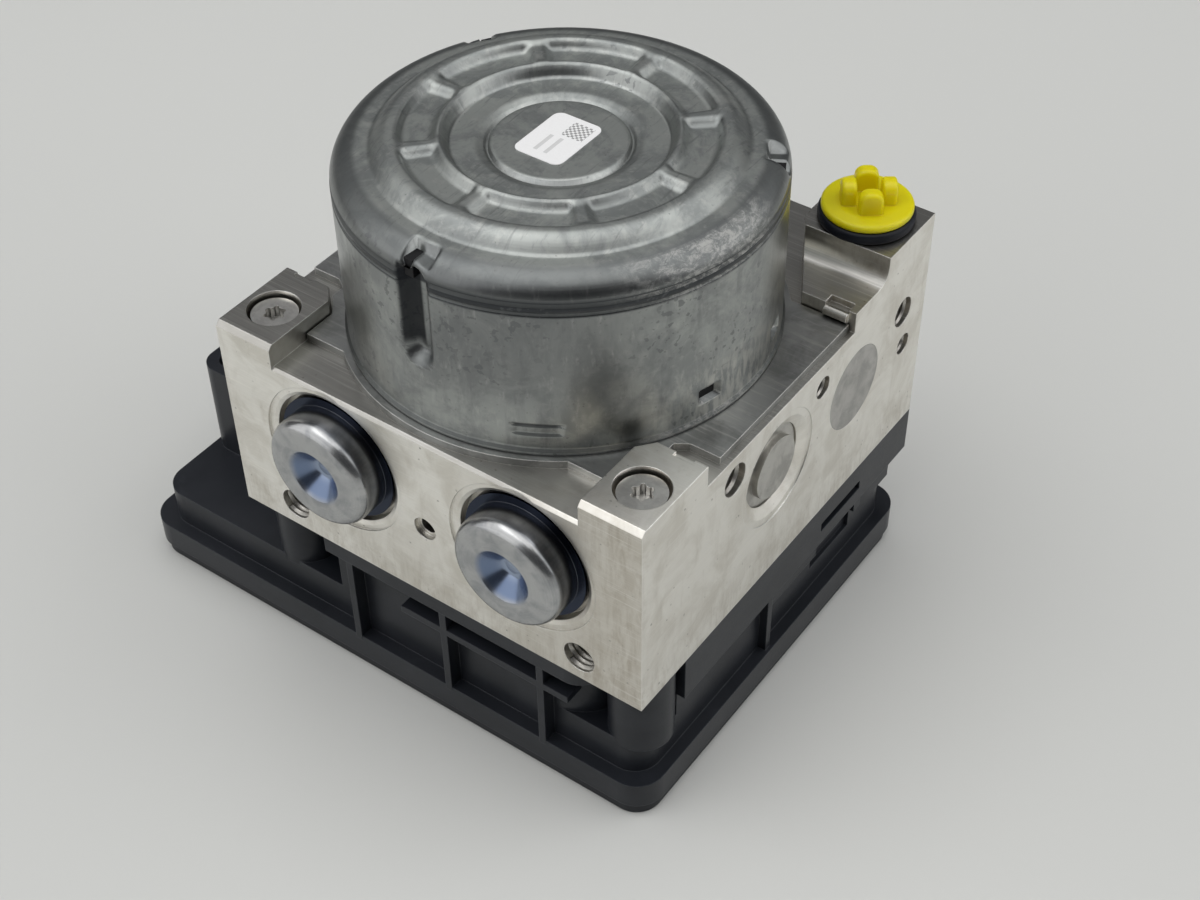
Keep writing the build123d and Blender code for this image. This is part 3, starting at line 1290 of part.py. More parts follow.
seal_z = BOSS_Z
rim_z = seal_z + PLUG_SEAL_T
plug_points = [
    (0, seal_z - PLUG_STEM_T),
    (PLUG_STEM_R - 1.0, seal_z - PLUG_STEM_T),
    (PLUG_STEM_R, seal_z - PLUG_STEM_T + 1.5),
    (PLUG_STEM_R, rim_z),
    (PLUG_R, rim_z),
    (PLUG_R, rim_z + PLUG_RIM_T),
    (PLUG_HUB_R, rim_z + PLUG_DOME_T),
    (0, rim_z + PLUG_DOME_T),
]
plug_rounds = [
    ((PLUG_R, rim_z), PLUG_UNDER_ROUND),
    ((PLUG_R, rim_z + PLUG_RIM_T), PLUG_ROUND),
    ((PLUG_HUB_R, rim_z + PLUG_DOME_T), PLUG_ROUND),
]
seal_out = ring_points(PLUG_STEM_R + FIT, PLUG_SEAL_R, seal_z, rim_z)

for s, name in ((-1, "left"), (1, "right")):
    with BuildPart() as plug_seal:
        turned((s * PORT_X, PORT_Y, 0), (0, 0, 1), (1, 0, 0), seal_out)
        rims = plug_seal.edges().filter_by(GeomType.CIRCLE).filter_by(lambda e: e.radius > PLUG_R)
        fillet(rims, 0.7)
    export(plug_seal, "plug_seal_" + name)
    with BuildPart() as transport_plug:
        turned((s * PORT_X, PORT_Y, 0), (0, 0, 1), (1, 0, 0), plug_points, rounds=plug_rounds)
        for deg in TAB_DEG:
            a = math.radians(deg)
            in_r = TAB_R - TAB_T / 2
            face = Plane(
                origin=(s * PORT_X + in_r * math.cos(a), PORT_Y + in_r * math.sin(a), 0),
                x_dir=(-math.sin(a), math.cos(a), 0),
                z_dir=(math.cos(a), math.sin(a), 0),
            )
            with BuildSketch(face):
                with Locations((0, rim_z + (TAB_TOP - TAB_ROOT) / 2)):
                    RectangleRounded(TAB_W, TAB_TOP + TAB_ROOT, TAB_ROUND)
            extrude(amount=TAB_T)
        tops = transport_plug.edges().filter_by(lambda e: e.center().Z > rim_z + PLUG_DOME_T + TAB_SOFT)
        fillet(tops, TAB_SOFT)
    export(transport_plug, "transport_plug_" + name)
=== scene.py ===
import bmesh
import bpy
import math
from mathutils import Matrix, Vector


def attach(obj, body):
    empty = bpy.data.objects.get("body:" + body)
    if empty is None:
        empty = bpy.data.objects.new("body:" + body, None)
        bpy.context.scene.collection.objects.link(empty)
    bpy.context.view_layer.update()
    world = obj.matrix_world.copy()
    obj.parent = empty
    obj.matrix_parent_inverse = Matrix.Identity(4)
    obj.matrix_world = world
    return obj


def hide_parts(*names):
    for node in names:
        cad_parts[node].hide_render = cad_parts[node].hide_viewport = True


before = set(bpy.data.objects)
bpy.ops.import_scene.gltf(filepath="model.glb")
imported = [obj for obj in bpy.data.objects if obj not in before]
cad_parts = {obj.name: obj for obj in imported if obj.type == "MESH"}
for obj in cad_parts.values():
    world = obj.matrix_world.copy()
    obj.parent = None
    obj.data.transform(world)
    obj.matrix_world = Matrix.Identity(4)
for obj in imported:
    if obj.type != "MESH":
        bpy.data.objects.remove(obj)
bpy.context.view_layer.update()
MM = 0.001

# ---------------------------------------------------------------- camera

FOCAL_PX = 1920.62
PICTURE_W = 1200
SENSOR = 36.0
AIM = Vector((0.0, 4.85, 50.2)) * MM
AIM_OFF_X = -15.90
AIM_OFF_Y = -82.10
DISTANCE = 333.885 * MM
AZIMUTH = math.radians(36.214)
ELEVATION = math.radians(43.336)
ROLL = math.radians(-0.924)


def make_camera():
    ca, sa = math.cos(AZIMUTH), math.sin(AZIMUTH)
    ce, se = math.cos(ELEVATION), math.sin(ELEVATION)
    back = Vector((sa * ce, -ca * ce, se))
    level = Vector((ca, sa, 0.0))
    upward = back.cross(level)
    right = level * math.cos(ROLL) + upward * math.sin(ROLL)
    up = upward * math.cos(ROLL) - level * math.sin(ROLL)
    per_px = DISTANCE / FOCAL_PX
    data = bpy.data.cameras.new("camera")
    data.sensor_width = SENSOR
    data.lens = FOCAL_PX / PICTURE_W * SENSOR
    data.clip_start = 0.01
    data.clip_end = 20.0
    camera = bpy.data.objects.new("camera", data)
    bpy.context.collection.objects.link(camera)
    place = AIM + back * DISTANCE - right * (AIM_OFF_X * per_px) + up * (AIM_OFF_Y * per_px)
    turn = Matrix((right, up, back)).transposed().to_4x4()
    camera.matrix_world = Matrix.Translation(place) @ turn
    bpy.context.scene.camera = camera


make_camera()

# ---------------------------------------------------------------- node graphs


class Value:
    """A socket whose operators add Math nodes."""

    def __init__(self, graph, socket):
        self.graph = graph
        self.socket = socket

    def math(self, operation, a, b=None, clamp=False):
        inputs = {0: a} if b is None else {0: a, 1: b}
        return self.graph.add("ShaderNodeMath", {"operation": operation, "use_clamp": clamp}, inputs)[0]

    def __add__(self, other):
        return self.math("ADD", self, other)

    __radd__ = __add__

    def __mul__(self, other):
        return self.math("MULTIPLY", self, other)

    def __sub__(self, other):
        return self.math("SUBTRACT", self, other)

    def __rsub__(self, other):
        return self.math("SUBTRACT", other, self)

    def __pow__(self, other):
        return self.math("POWER", self, other)

    def above(self, low, high):
        """0 below low, 1 above high, smooth between."""
        inputs = {"Value": self, "From Min": low, "From Max": high}
        return self.graph.add("ShaderNodeMapRange", {"interpolation_type": "SMOOTHSTEP"}, inputs)[0]

    def absolute(self):
        return self.math("ABSOLUTE", self)

    def clamped(self):
        return self.math("ADD", self, 0.0, clamp=True)


class Finish:
    """A procedural material on one principled shader."""

    def __init__(self, name, metallic=0.0, roughness=0.5, ior=None):
        self.material = bpy.data.materials.new(name)
        self.material.use_nodes = True
        self.tree = self.material.node_tree
        self.shader = self.tree.nodes["Principled BSDF"]
        self.shader.inputs["Metallic"].default_value = metallic
        self.shader.inputs["Roughness"].default_value = roughness
        if ior:
            self.shader.inputs["IOR"].default_value = ior
        self.place = self.add("ShaderNodeTexCoord", {}, {})["Object"]
        self.heights = []

    def add(self, kind, settings, inputs):
        node = self.tree.nodes.new(kind)
        for key, value in settings.items():
            setattr(node, key, value)
        for key, value in inputs.items():
            socket = node.inputs[key]
            if isinstance(value, Value):
                self.tree.links.new(value.socket, socket)
            else:
                socket.default_value = value
        return Outputs(self, node)

    def spread(self, scale=(1, 1, 1), turn=(0, 0, 0), move=(0, 0, 0)):
        """Object coordinates in millimetres, stretched."""
        per_metre = tuple(s / MM for s in scale)
        inputs = {"Vector": self.place, "Location": move, "Rotation": turn, "Scale": per_metre}
        return self.add("ShaderNodeMapping", {"vector_type": "POINT"}, inputs)[0]

    def even(self, scale):
        """Object coordinates in millimetres, stretched alike in each direction."""
        return self.spread((scale,) * 3)

    def noise(self, vector, scale=1.0, detail=3.0, rough=0.55, twist=0.0):
        inputs = {"Vector": vector, "Scale": scale, "Detail": detail, "Roughness": rough}
        inputs["Distortion"] = twist
        return self.add("ShaderNodeTexNoise", {}, inputs)[0]

    def cells(self, vector):
        """Distance to the nearest of scattered points."""
        return self.add("ShaderNodeTexVoronoi", {}, {"Vector": vector, "Scale": 1.0})["Distance"]

    def point(self, x, y, z=0.0):
        return self.add("ShaderNodeCombineXYZ", {}, {0: x, 1: y, 2: z})[0]

    def bands(self, way, scale, twist):
        inputs = {"Vector": self.spread(), "Scale": scale, "Distortion": twist}
        return self.add("ShaderNodeTexWave", {"bands_direction": way}, inputs)[1]

    def mix(self, factor, a, b):
        """Colour a where factor is 0, colour b where it is 1."""
        node = self.tree.nodes.new("ShaderNodeMix")
        node.data_type = "RGBA"
        for index, value in ((0, factor), (6, a), (7, b)):
            if isinstance(value, Value):
                self.tree.links.new(value.socket, node.inputs[index])
            elif index:
                node.inputs[index].default_value = (*value, 1.0)
            else:
                node.inputs[index].default_value = value
        return Value(self, node.outputs[2])

    def axes(self, vector):
        node = self.add("ShaderNodeSeparateXYZ", {}, {0: vector})
        return node[0], node[1], node[2]

    def facing(self):
        """The true normal's parts."""
        return self.axes(self.add("ShaderNodeNewGeometry", {}, {})["True Normal"])

    def edges(self, radius_mm):
        """1 on sharp edges, 0 on flats."""
        soft = self.add("ShaderNodeBevel", {"samples": 4}, {"Radius": radius_mm * MM})[0]
        plain = self.add("ShaderNodeNewGeometry", {}, {})["Normal"]
        dot = self.add("ShaderNodeVectorMath", {"operation": "DOT_PRODUCT"}, {0: soft, 1: plain})["Value"]
        return (1.0 - dot).above(0.02, 0.3)

    def shade_in_hollows(self, distance_mm):
        """Painted shade mask: 1 in tight inner corners, where shade falls, 0 in the open."""
        inputs = {"Distance": distance_mm * MM}
        node = self.add("ShaderNodeAmbientOcclusion", {"samples": 8}, inputs)
        return (1.0 - node["AO"]).above(0.35, 0.95)

    def paint(self, **sockets):
        names = {"colour": "Base Color", "roughness": "Roughness"}
        for key, value in sockets.items():
            self.tree.links.new(value.socket, self.shader.inputs[names[key]])

    def bump(self, height, distance_mm):
        self.heights.append((height, distance_mm))

    def close(self, round_mm=0.0):
        """Joins the bumps in a row, over a rounded-edge normal where asked."""
        normal = None
        if round_mm:
            normal = self.add("ShaderNodeBevel", {"samples": 4}, {"Radius": round_mm * MM})[0]
        for height, distance_mm in self.heights:
            inputs = {"Height": height, "Distance": distance_mm * MM}
            if normal:
                inputs["Normal"] = normal
            normal = self.add("ShaderNodeBump", {}, inputs)[0]
        if normal:
            self.tree.links.new(normal.socket, self.shader.inputs["Normal"])
        return self.material


class Outputs:
    """A node whose outputs are read as values, by index or name."""

    def __init__(self, graph, node):
        self.graph = graph
        self.node = node

    def __getitem__(self, key):
        return Value(self.graph, self.node.outputs[key])


# ---------------------------------------------------------------- finishes

# Axes of the front caps, the side plugs and the side discs, and the can's flat end.
ACC_X = 19.35
ACC_Z = 51.35
PUMP_Z = 53.1
DAMPER_Y = 24.55
DAMPER_Z = 52.8
CAN_FLAT_Z = 100.4


def milled_alloy():
    """Machined block: fine feed lines, dull stains, dark specks, painted shade in the hollows, on the
    tops and on the right face.
    """
    f = Finish("milled alloy", metallic=1.0)
    x, y, z = f.axes(f.spread())
    nx, _, nz = f.facing()
    flat = nz.absolute().above(0.5, 0.8)
    right = nx.above(0.5, 0.8)
    side_lines = f.noise(f.spread((0.06, 0.06, 5.0)), 1.0, 3.0, 0.6)
    top_lines = f.noise(f.spread((0.05, 4.0, 0.05)), 1.0, 3.0, 0.6)
    lines = side_lines * (1.0 - flat) + top_lines * flat
    stains = f.noise(f.even(0.11), 1.0, 6.0, 0.62, 0.6)
    clouds = f.noise(f.spread((0.035, 0.035, 0.05)), 1.0, 3.0, 0.5)
    drips = f.noise(f.spread((0.35, 0.35, 0.07)), 1.0, 5.0, 0.6, 0.3)
    grain = f.noise(f.even(1.6), 1.0, 4.0, 0.7)
    marks = f.cells(f.even(0.42))
    pits = 1.0 - marks.above(0.04, 0.13)
    edge = f.edges(0.30)
    hollow_shade = f.shade_in_hollows(3.5)
    base = f.mix(stains.above(0.40, 0.66), (0.95, 0.93, 0.87), (0.76, 0.73, 0.66))
    base = f.mix(clouds.above(0.45, 0.72) * 0.25, base, (0.60, 0.56, 0.49))
    base = f.mix(drips.above(0.52, 0.72) * 0.25, base, (0.52, 0.475, 0.40))
    # Painted shade: the right face is toned darker and warmer.
    base = f.mix(right * 0.12, base, (0.60, 0.565, 0.51))
    base = f.mix((1.0 - flat) * (1.0 - right) * x.above(-5.0, 45.0) * 0.65, base, (0.52, 0.48, 0.41))
    brown = f.noise(f.spread((0.30, 0.30, 0.22), move=(2, 0, 5)), 1.0, 7.0, 0.68, 0.5).above(0.46, 0.62)
    streaks = f.noise(f.spread((1.1, 1.1, 0.16), move=(0, 3, 0)), 1.0, 6.0, 0.65, 0.3).above(0.44, 0.64)
    ends = x.above(24.0, 39.0) * (1.0 - right) + (1.0 - z.above(32.0, 42.0)) * 0.6
    stain = (brown * 0.5 + streaks * 0.5) * ends.clamped() * (1.0 - flat)
    base = f.mix(stain * 0.65, base, (0.40, 0.345, 0.27))
    # Painted shade: the tops are darkened as if reflecting a dark room, except a corner of the right pad,
    # left bright as a painted reflection.
    reflecting_corner = x.above(15.0, 30.0) * (1.0 - y.above(-26.0, -14.0))
    base = f.mix(flat * (1.0 - reflecting_corner) * 0.85, base, (0.25, 0.248, 0.238))
    base = f.mix(lines.above(0.30, 0.50) * 0.16, base, (0.58, 0.565, 0.53))
    base = f.mix(lines.above(0.52, 0.75) * 0.30, base, (0.98, 0.97, 0.94))
    base = f.mix(pits * grain.above(0.45, 0.6) * 0.75, base, (0.2, 0.185, 0.16))
    # Painted shade: the block is darkened in its hollows and inner corners.
    base = f.mix(hollow_shade * 0.55, base, (0.20, 0.18, 0.15))
    base = f.mix(edge * 0.7, base, (0.96, 0.95, 0.92))
    rough = 0.20 + stains * 0.12 + grain * 0.10 + drips * 0.06
    f.paint(colour=base, roughness=rough)
    f.bump(lines, 0.014)
    f.bump(grain, 0.010)
    f.bump(stains, 0.02)
    return f.close(0.22)


def zinc_steel():
    """Drawn can: grey zinc, drawing marks round the side, scuffs and bright rubs, with painted shade on
    the shoulder, the side, the upper front, the groove's left wall and in the hollows.
    """
    f = Finish("zinc steel", metallic=1.0)
    x, y, z = f.axes(f.spread())
    nz = f.facing()[2]
    flat = nz.above(0.45, 0.8)
    around = x.math("ARCTAN2", y, x)
    drawn = f.noise(f.point(around * 1.2, z * 2.6), 1.0, 4.0, 0.65)
    pulled = f.noise(f.point(around * 13.0, z * 0.09), 1.0, 5.0, 0.62)
    fine = f.noise(f.point(around * 30.0, z * 0.25), 1.0, 4.0, 0.6)
    spangle = f.noise(f.even(0.5), 1.0, 5.0, 0.65, 0.3)
    blotch = f.noise(f.even(0.10), 1.0, 6.0, 0.66, 0.8)
    grain = f.noise(f.even(2.6), 1.0, 3.0, 0.7)
    marks = f.cells(f.spread((0.8, 0.8, 0.8), turn=(0.3, 0.2, 0.5)))
    specks = (1.0 - marks.above(0.05, 0.2)) * grain.above(0.48, 0.6)
    scuffs = f.noise(f.spread((1.6, 0.16, 0.3), turn=(0, 0, 0.9)), 1.0, 4.0, 0.6, 0.2)
    edge = f.edges(0.6)
    spots = f.noise(f.even(0.75), 1.0, 2.0, 0.5)
    region = f.noise(f.spread((0.07, 0.07, 0.09), move=(3, 1, 0)), 1.0, 2.0, 0.5)
    spots = spots.above(0.60, 0.63) * region.above(0.42, 0.62)
    reach = (x * x + y * y) ** 0.5
    turned = around * (180.0 / math.pi)
    shoulder = reach.above(31.3, 32.6) * nz.above(0.08, 0.3)
    rubbed = turned.above(-46.0, -22.0) * (1.0 - turned.above(0.0, 14.0))
    front_side_shade = turned.above(-110.0, -75.0) * (1.0 - turned.above(-50.0, -20.0))
    band = z.above(93.9, 94.4) * (1.0 - z.above(96.5, 97.4)) * (1.0 - flat)
    base = f.mix(blotch.above(0.40, 0.62), (0.40, 0.418, 0.402), (0.27, 0.285, 0.28))
    base = f.mix(spangle.above(0.5, 0.7) * 0.4, base, (0.52, 0.525, 0.50))
    base = f.mix(scuffs.above(0.56, 0.72) * flat * 0.5, base, (0.19, 0.197, 0.195))
    # Painted shade: the rounded shoulder is darkened.
    base = f.mix(shoulder * 0.72, base, (0.13, 0.138, 0.14))
    # Painted shade: the side is toned darker than the end.
    base = f.mix((1.0 - flat) * 0.3, base, (0.24, 0.245, 0.24))
    # Painted reflection: the upper front of the side is darkened as if reflecting the dark block.
    base = f.mix(front_side_shade * (1.0 - flat) * z.above(72.0, 84.0) * 0.5, base, (0.12, 0.125, 0.13))
    base = f.mix(pulled.above(0.48, 0.74) * (1.0 - flat) * 0.5, base, (0.15, 0.155, 0.16))
    base = f.mix(fine.above(0.55, 0.8) * (1.0 - flat) * 0.35, base, (0.55, 0.55, 0.53))
    base = f.mix(band * 0.9, base, (0.035, 0.038, 0.043))
    base = f.mix(spots * (1.0 - flat * 0.8) * 0.6, base, (0.13, 0.135, 0.14))
    base = f.mix(specks * 0.5, base, (0.10, 0.10, 0.10))
    low_rubs = turned.above(-40.0, -10.0) * (1.0 - z.above(74.0, 80.0)) * (1.0 - flat)
    base = f.mix(low_rubs * fine.above(0.4, 0.6) * 0.5, base, (0.62, 0.61, 0.56))
    # Painted shade: the groove's left wall is painted near black.
    groove_shade = turned.above(-96.4, -95.2) * (1.0 - turned.above(-91.6, -90.6))
    groove_shade = groove_shade * z.above(81.0, 83.5) * (1.0 - z.above(97.4, 98.2))
    base = f.mix(groove_shade * 0.93, base, (0.015, 0.016, 0.019))
    # Painted shade: near black in the windows, notches and other hollows.
    base = f.mix(f.shade_in_hollows(4.0) * 0.95, base, (0.03, 0.032, 0.036))
    ragged = f.noise(f.spread((0.45, 0.45, 0.9), move=(0, 4, 0)), 1.0, 10.0, 0.82, 0.5).above(0.44, 0.62)
    worn = shoulder * rubbed * ragged * (1.0 - nz.above(0.93, 0.99))
    base = f.mix(worn * 0.62, base, (0.66, 0.655, 0.63))
    rubs = edge * blotch.above(0.35, 0.55) * (1.0 - flat * 0.65)
    base = f.mix(rubs * 0.6, base, (0.82, 0.81, 0.78))
    rough = 0.20 + blotch * 0.14 + grain * 0.08 + flat * 0.16 + worn * 0.2
    f.paint(colour=base, roughness=rough)
    f.bump(drawn, 0.012)
    f.bump(pulled * (1.0 - flat), 0.03)
    f.bump(grain, 0.010)
    return f.close(0.3)


def stamped_plate():
    """Stamped motor plate: dull zinc with directional rubbing, painted shade in the hollows."""
    f = Finish("stamped plate", metallic=1.0)
    streaks = f.noise(f.spread((0.12, 1.6, 1.0), turn=(0, 0, 0.5)), 1.0, 4.0, 0.6)
    blotch = f.noise(f.even(0.12), 1.0, 5.0, 0.6, 0.5)
    grain = f.noise(f.even(2.2), 1.0, 3.0, 0.7)
    base = f.mix(blotch.above(0.4, 0.65), (0.33, 0.335, 0.33), (0.21, 0.215, 0.21))
    base = f.mix(streaks.above(0.5, 0.75) * 0.4, base, (0.55, 0.54, 0.52))
    # Painted shade: dark in the hollows, such as round the can's foot.
    base = f.mix(f.shade_in_hollows(2.5) * 0.8, base, (0.04, 0.04, 0.042))
    base = f.mix(f.edges(0.3) * 0.8, base, (0.85, 0.84, 0.81))
    f.paint(colour=base, roughness=0.30 + blotch * 0.16 + grain * 0.06)
    f.bump(streaks, 0.008)
    f.bump(grain, 0.006)
    return f.close(0.15)


def turned_metal(name, light, dark, rough, centre_y, centre_z):
    """Metal with fine turning rings about an axis that runs along x."""
    f = Finish(name, metallic=1.0)
    _, y, z = f.axes(f.spread(move=(0, -centre_y, -centre_z)))
    radius = (y * y + z * z) ** 0.5
    rings = f.noise(f.point(radius * 5.0, 0.0), 1.0, 3.0, 0.6)
    blotch = f.noise(f.even(0.25), 1.0, 4.0, 0.6, 0.4)
    grain = f.noise(f.even(2.4), 1.0, 3.0, 0.7)
    base = f.mix(blotch.above(0.38, 0.68), light, dark)
    base = f.mix(rings.above(0.4, 0.8) * 0.3, base, tuple(min(1.0, c * 1.25) for c in light))
    f.paint(colour=base, roughness=rough + blotch * 0.1 + rings * 0.08)
    f.bump(rings, 0.006)
    f.bump(grain, 0.003)
    return f.close(0.12)


def cap_steel(name, centre_x):
    """Accumulator cap: grey turned ring, polished shoulder, blued dimple, and a blued collar darkened
    further with painted shade.
    """
    f = Finish(name, metallic=1.0)
    x, _, z = f.axes(f.spread(move=(-centre_x, 0, -ACC_Z)))
    radius = (x * x + z * z) ** 0.5
    rings = f.noise(f.point(radius * 5.0, 0.0), 1.0, 3.0, 0.6)
    blotch = f.noise(f.even(0.3), 1.0, 5.0, 0.6, 0.4)
    grain = f.noise(f.even(2.4), 1.0, 3.0, 0.7)
    base = f.mix(blotch.above(0.38, 0.68), (0.44, 0.445, 0.445), (0.31, 0.32, 0.33))
    base = f.mix(rings.above(0.4, 0.8) * 0.35, base, (0.66, 0.66, 0.65))
    base = f.mix(1.0 - radius.above(4.3, 5.6), base, (0.17, 0.22, 0.33))
    base = f.mix(1.0 - radius.above(0.5, 3.2), base, (0.40, 0.46, 0.56))
    # The collar is blued steel, darkened further as painted shade on its side.
    base = f.mix(radius.above(10.15, 10.4), base, (0.022, 0.030, 0.052))
    rough = 0.16 + blotch * 0.1 + rings * 0.08
    f.paint(colour=base, roughness=rough)
    f.bump(rings, 0.005)
    f.bump(grain, 0.003)
    return f.close(0.12)


def plain_metal(name, light, dark, rough):
    """Small inner metal parts: drawn or pressed, slightly mottled, painted shade in the hollows."""
    f = Finish(name, metallic=1.0)
    blotch = f.noise(f.even(0.4), 1.0, 4.0, 0.6, 0.3)
    grain = f.noise(f.even(3.0), 1.0, 3.0, 0.7)
    base = f.mix(blotch.above(0.35, 0.7), light, dark)
    # Painted shade: darker in the hollows.
    base = f.mix(f.shade_in_hollows(1.6) * 0.9, base, tuple(0.12 * c for c in dark))
    f.paint(colour=base, roughness=rough + blotch * 0.12 + grain * 0.05)
    f.bump(grain, 0.006)
    return f.close(0.08)


def moulded(name, light, dark, rough, grain_mm, scale, edge_tone=None):
    """Moulded plastic or rubber: fine grain, faint flow marks, rubbed edges."""
    f = Finish(name, ior=1.36)
    grain = f.noise(f.even(scale), 1.6, 5.0, 0.65)
    flow = f.noise(f.spread((0.05, 0.05, 0.12)), 1.0, 4.0, 0.55, 0.8)
    dust = f.noise(f.even(0.22), 1.0, 5.0, 0.7)
    base = f.mix(flow.above(0.38, 0.66), light, dark)
    if edge_tone:
        base = f.mix(f.edges(0.4) * 0.5, base, edge_tone)
        base = f.mix(dust.above(0.56, 0.8) * 0.15, base, edge_tone)
    f.paint(colour=base, roughness=rough + grain * 0.16 + dust * 0.10)
    f.bump(grain, grain_mm)
    return f.close(0.25)


def waxy_yellow():
    """Transport plug: waxy yellow that light soaks into."""
    f = Finish("yellow moulding", ior=1.46)
    f.shader.inputs["Subsurface Weight"].default_value = 0.75
    f.shader.inputs["Subsurface Radius"].default_value = (1.0, 0.85, 0.05)
    f.shader.inputs["Subsurface Scale"].default_value = 0.004
    grain = f.noise(f.even(1.0), 1.6, 5.0, 0.65)
    flow = f.noise(f.spread((0.05, 0.05, 0.12)), 1.0, 4.0, 0.55, 0.8)
    f.paint(colour=f.mix(flow, (0.74, 0.64, 0.001), (0.66, 0.57, 0.001)), roughness=0.30 + grain * 0.15)
    f.bump(grain, 0.008)
    return f.close(0.4)


def fibre_board():
    f = Finish("fibre board", ior=1.5)
    weave = f.noise(f.even(1.5), 1.0, 4.0, 0.6)
    tracks = f.bands("DIAGONAL", 0.5, 6.0)
    base = f.mix(tracks.above(0.55, 0.65), (0.03, 0.16, 0.07), (0.05, 0.26, 0.11))
    f.paint(colour=base, roughness=0.35 + weave * 0.2)
    f.bump(weave, 0.01)
    return f.close()


def wound_wire():
    f = Finish("wound wire", metallic=1.0)
    strands = f.bands("Z", 1.2, 0.6)
    grain = f.noise(f.even(1.0), 1.0, 3.0, 0.6)
    base = f.mix(strands.above(0.2, 0.8), (0.32, 0.12, 0.05), (0.72, 0.34, 0.16))
    f.paint(colour=base, roughness=0.3 + grain * 0.2)
    f.bump(strands, 0.15)
    return f.close()


finishes = {
    ("valve_block",): milled_alloy(),
    ("motor_can",): zinc_steel(),
    ("motor_plate",): stamped_plate(),
    ("accumulator_cap_left",): cap_steel("cap steel left", -ACC_X),
    ("accumulator_cap_right",): cap_steel("cap steel right", ACC_X),
    ("pump_plug_left", "pump_plug_right"): turned_metal(
        "plug alloy", (0.52, 0.51, 0.48), (0.36, 0.35, 0.33), 0.3, 0, PUMP_Z
    ),
    ("damper_discs",): turned_metal(
        "damper alloy", (0.5, 0.49, 0.47), (0.36, 0.355, 0.34), 0.38, DAMPER_Y, DAMPER_Z
    ),
    ("housing_screws",): plain_metal("screw zinc", (0.74, 0.73, 0.70), (0.54, 0.53, 0.51), 0.24),
    ("ecu_housing",): moulded(
        "black moulding", (0.017, 0.019, 0.024), (0.011, 0.013, 0.017), 0.22, 0.012, 1.4,
        edge_tone=(0.065, 0.072, 0.085),
    ),
    ("ecu_cover",): moulded(
        "black cover", (0.013, 0.015, 0.019), (0.009, 0.010, 0.014), 0.26, 0.014, 1.2,
        edge_tone=(0.06, 0.066, 0.075),
    ),
    ("transport_plug_left", "transport_plug_right"): waxy_yellow(),
    ("plug_seal_left", "plug_seal_right"): moulded(
        "plug rubber", (0.004, 0.006, 0.013), (0.003, 0.004, 0.008), 0.34, 0.01, 1.2,
        edge_tone=(0.012, 0.015, 0.028),
    ),
    ("accumulator_seal_left", "accumulator_seal_right", "shaft_seal", "ecu_gasket"): moulded(
        "seal rubber", (0.012, 0.012, 0.013), (0.008, 0.008, 0.009), 0.45, 0.02, 1.5,
        edge_tone=(0.03, 0.03, 0.032),
    ),
    (
        "accumulator_piston_left", "accumulator_piston_right", "brush_holder",
        "contact_guide", "valve_filters", "coil_bobbins",
    ): moulded(
        "inner moulding", (0.06, 0.055, 0.05), (0.045, 0.04, 0.036), 0.4, 0.02, 1.4,
        edge_tone=(0.1, 0.095, 0.09),
    ),
    (
        "accumulator_spring_left", "accumulator_spring_right",
        "pump_spring_left", "pump_spring_right", "brush_springs",
    ): plain_metal("spring wire", (0.36, 0.36, 0.36), (0.22, 0.22, 0.22), 0.3),
    (
        "pump_sleeve_left", "pump_sleeve_right", "pump_piston_left", "pump_piston_right",
        "ball_plugs", "eccentric", "eccentric_bearing", "upper_bearing", "main_bearing",
        "nose_bearing", "outlet_valves", "inlet_valves", "motor_shaft",
    ): plain_metal("ground steel", (0.56, 0.56, 0.55), (0.42, 0.42, 0.42), 0.22),
    ("armature_core", "coil_yokes"): plain_metal(
        "core sheet", (0.2, 0.2, 0.205), (0.12, 0.12, 0.125), 0.42
    ),
    ("windings", "coil_windings"): wound_wire(),
    ("commutator",): plain_metal("commutator copper", (0.7, 0.36, 0.2), (0.5, 0.24, 0.13), 0.28),
    ("motor_contacts", "coil_terminals", "connector_pins", "connector_blades"): plain_metal(
        "tinned metal", (0.66, 0.62, 0.5), (0.5, 0.46, 0.36), 0.24
    ),
    ("magnets",): moulded("ferrite", (0.03, 0.03, 0.032), (0.02, 0.02, 0.022), 0.5, 0.03, 1.8),
    ("brushes",): moulded("carbon", (0.03, 0.03, 0.03), (0.02, 0.02, 0.02), 0.45, 0.02, 1.8),
    ("vent_membrane",): moulded("vent felt", (0.7, 0.7, 0.7), (0.6, 0.6, 0.6), 0.6, 0.03, 2.2),
    ("circuit_board",): fibre_board(),
    ("board_parts",): moulded("chip resin", (0.02, 0.02, 0.021), (0.014, 0.014, 0.015), 0.4, 0.01, 1.6),
}
for names, material in finishes.items():
    for name in names:
        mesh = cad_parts[name].data
        mesh.materials.clear()
        mesh.materials.append(material)

# ---------------------------------------------------------------- new pieces


def finish_piece(bm, name, material, body="base", smooth=True):
    """Makes the object of a finished bmesh and puts it on its body."""
    bmesh.ops.recalc_face_normals(bm, faces=bm.faces)
    mesh = bpy.data.meshes.new(name)
    bm.to_mesh(mesh)
    bm.free()
    for polygon in mesh.polygons:
        polygon.use_smooth = smooth
    mesh.materials.append(material)
    piece = bpy.data.objects.new(name, mesh)
    bpy.context.collection.objects.link(piece)
    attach(piece, body)
    return piece


# Ridge of a thread: how far its foot sinks into the bore's wall, then its start,
# height, top and end as shares of the pitch.
RIDGE_SINK = 0.02
RIDGE_START = 0.35
RIDGE_H = 0.5
RIDGE_TOP = (0.42, 0.58)
RIDGE_END = 0.98
RIDGE_STEPS = 24


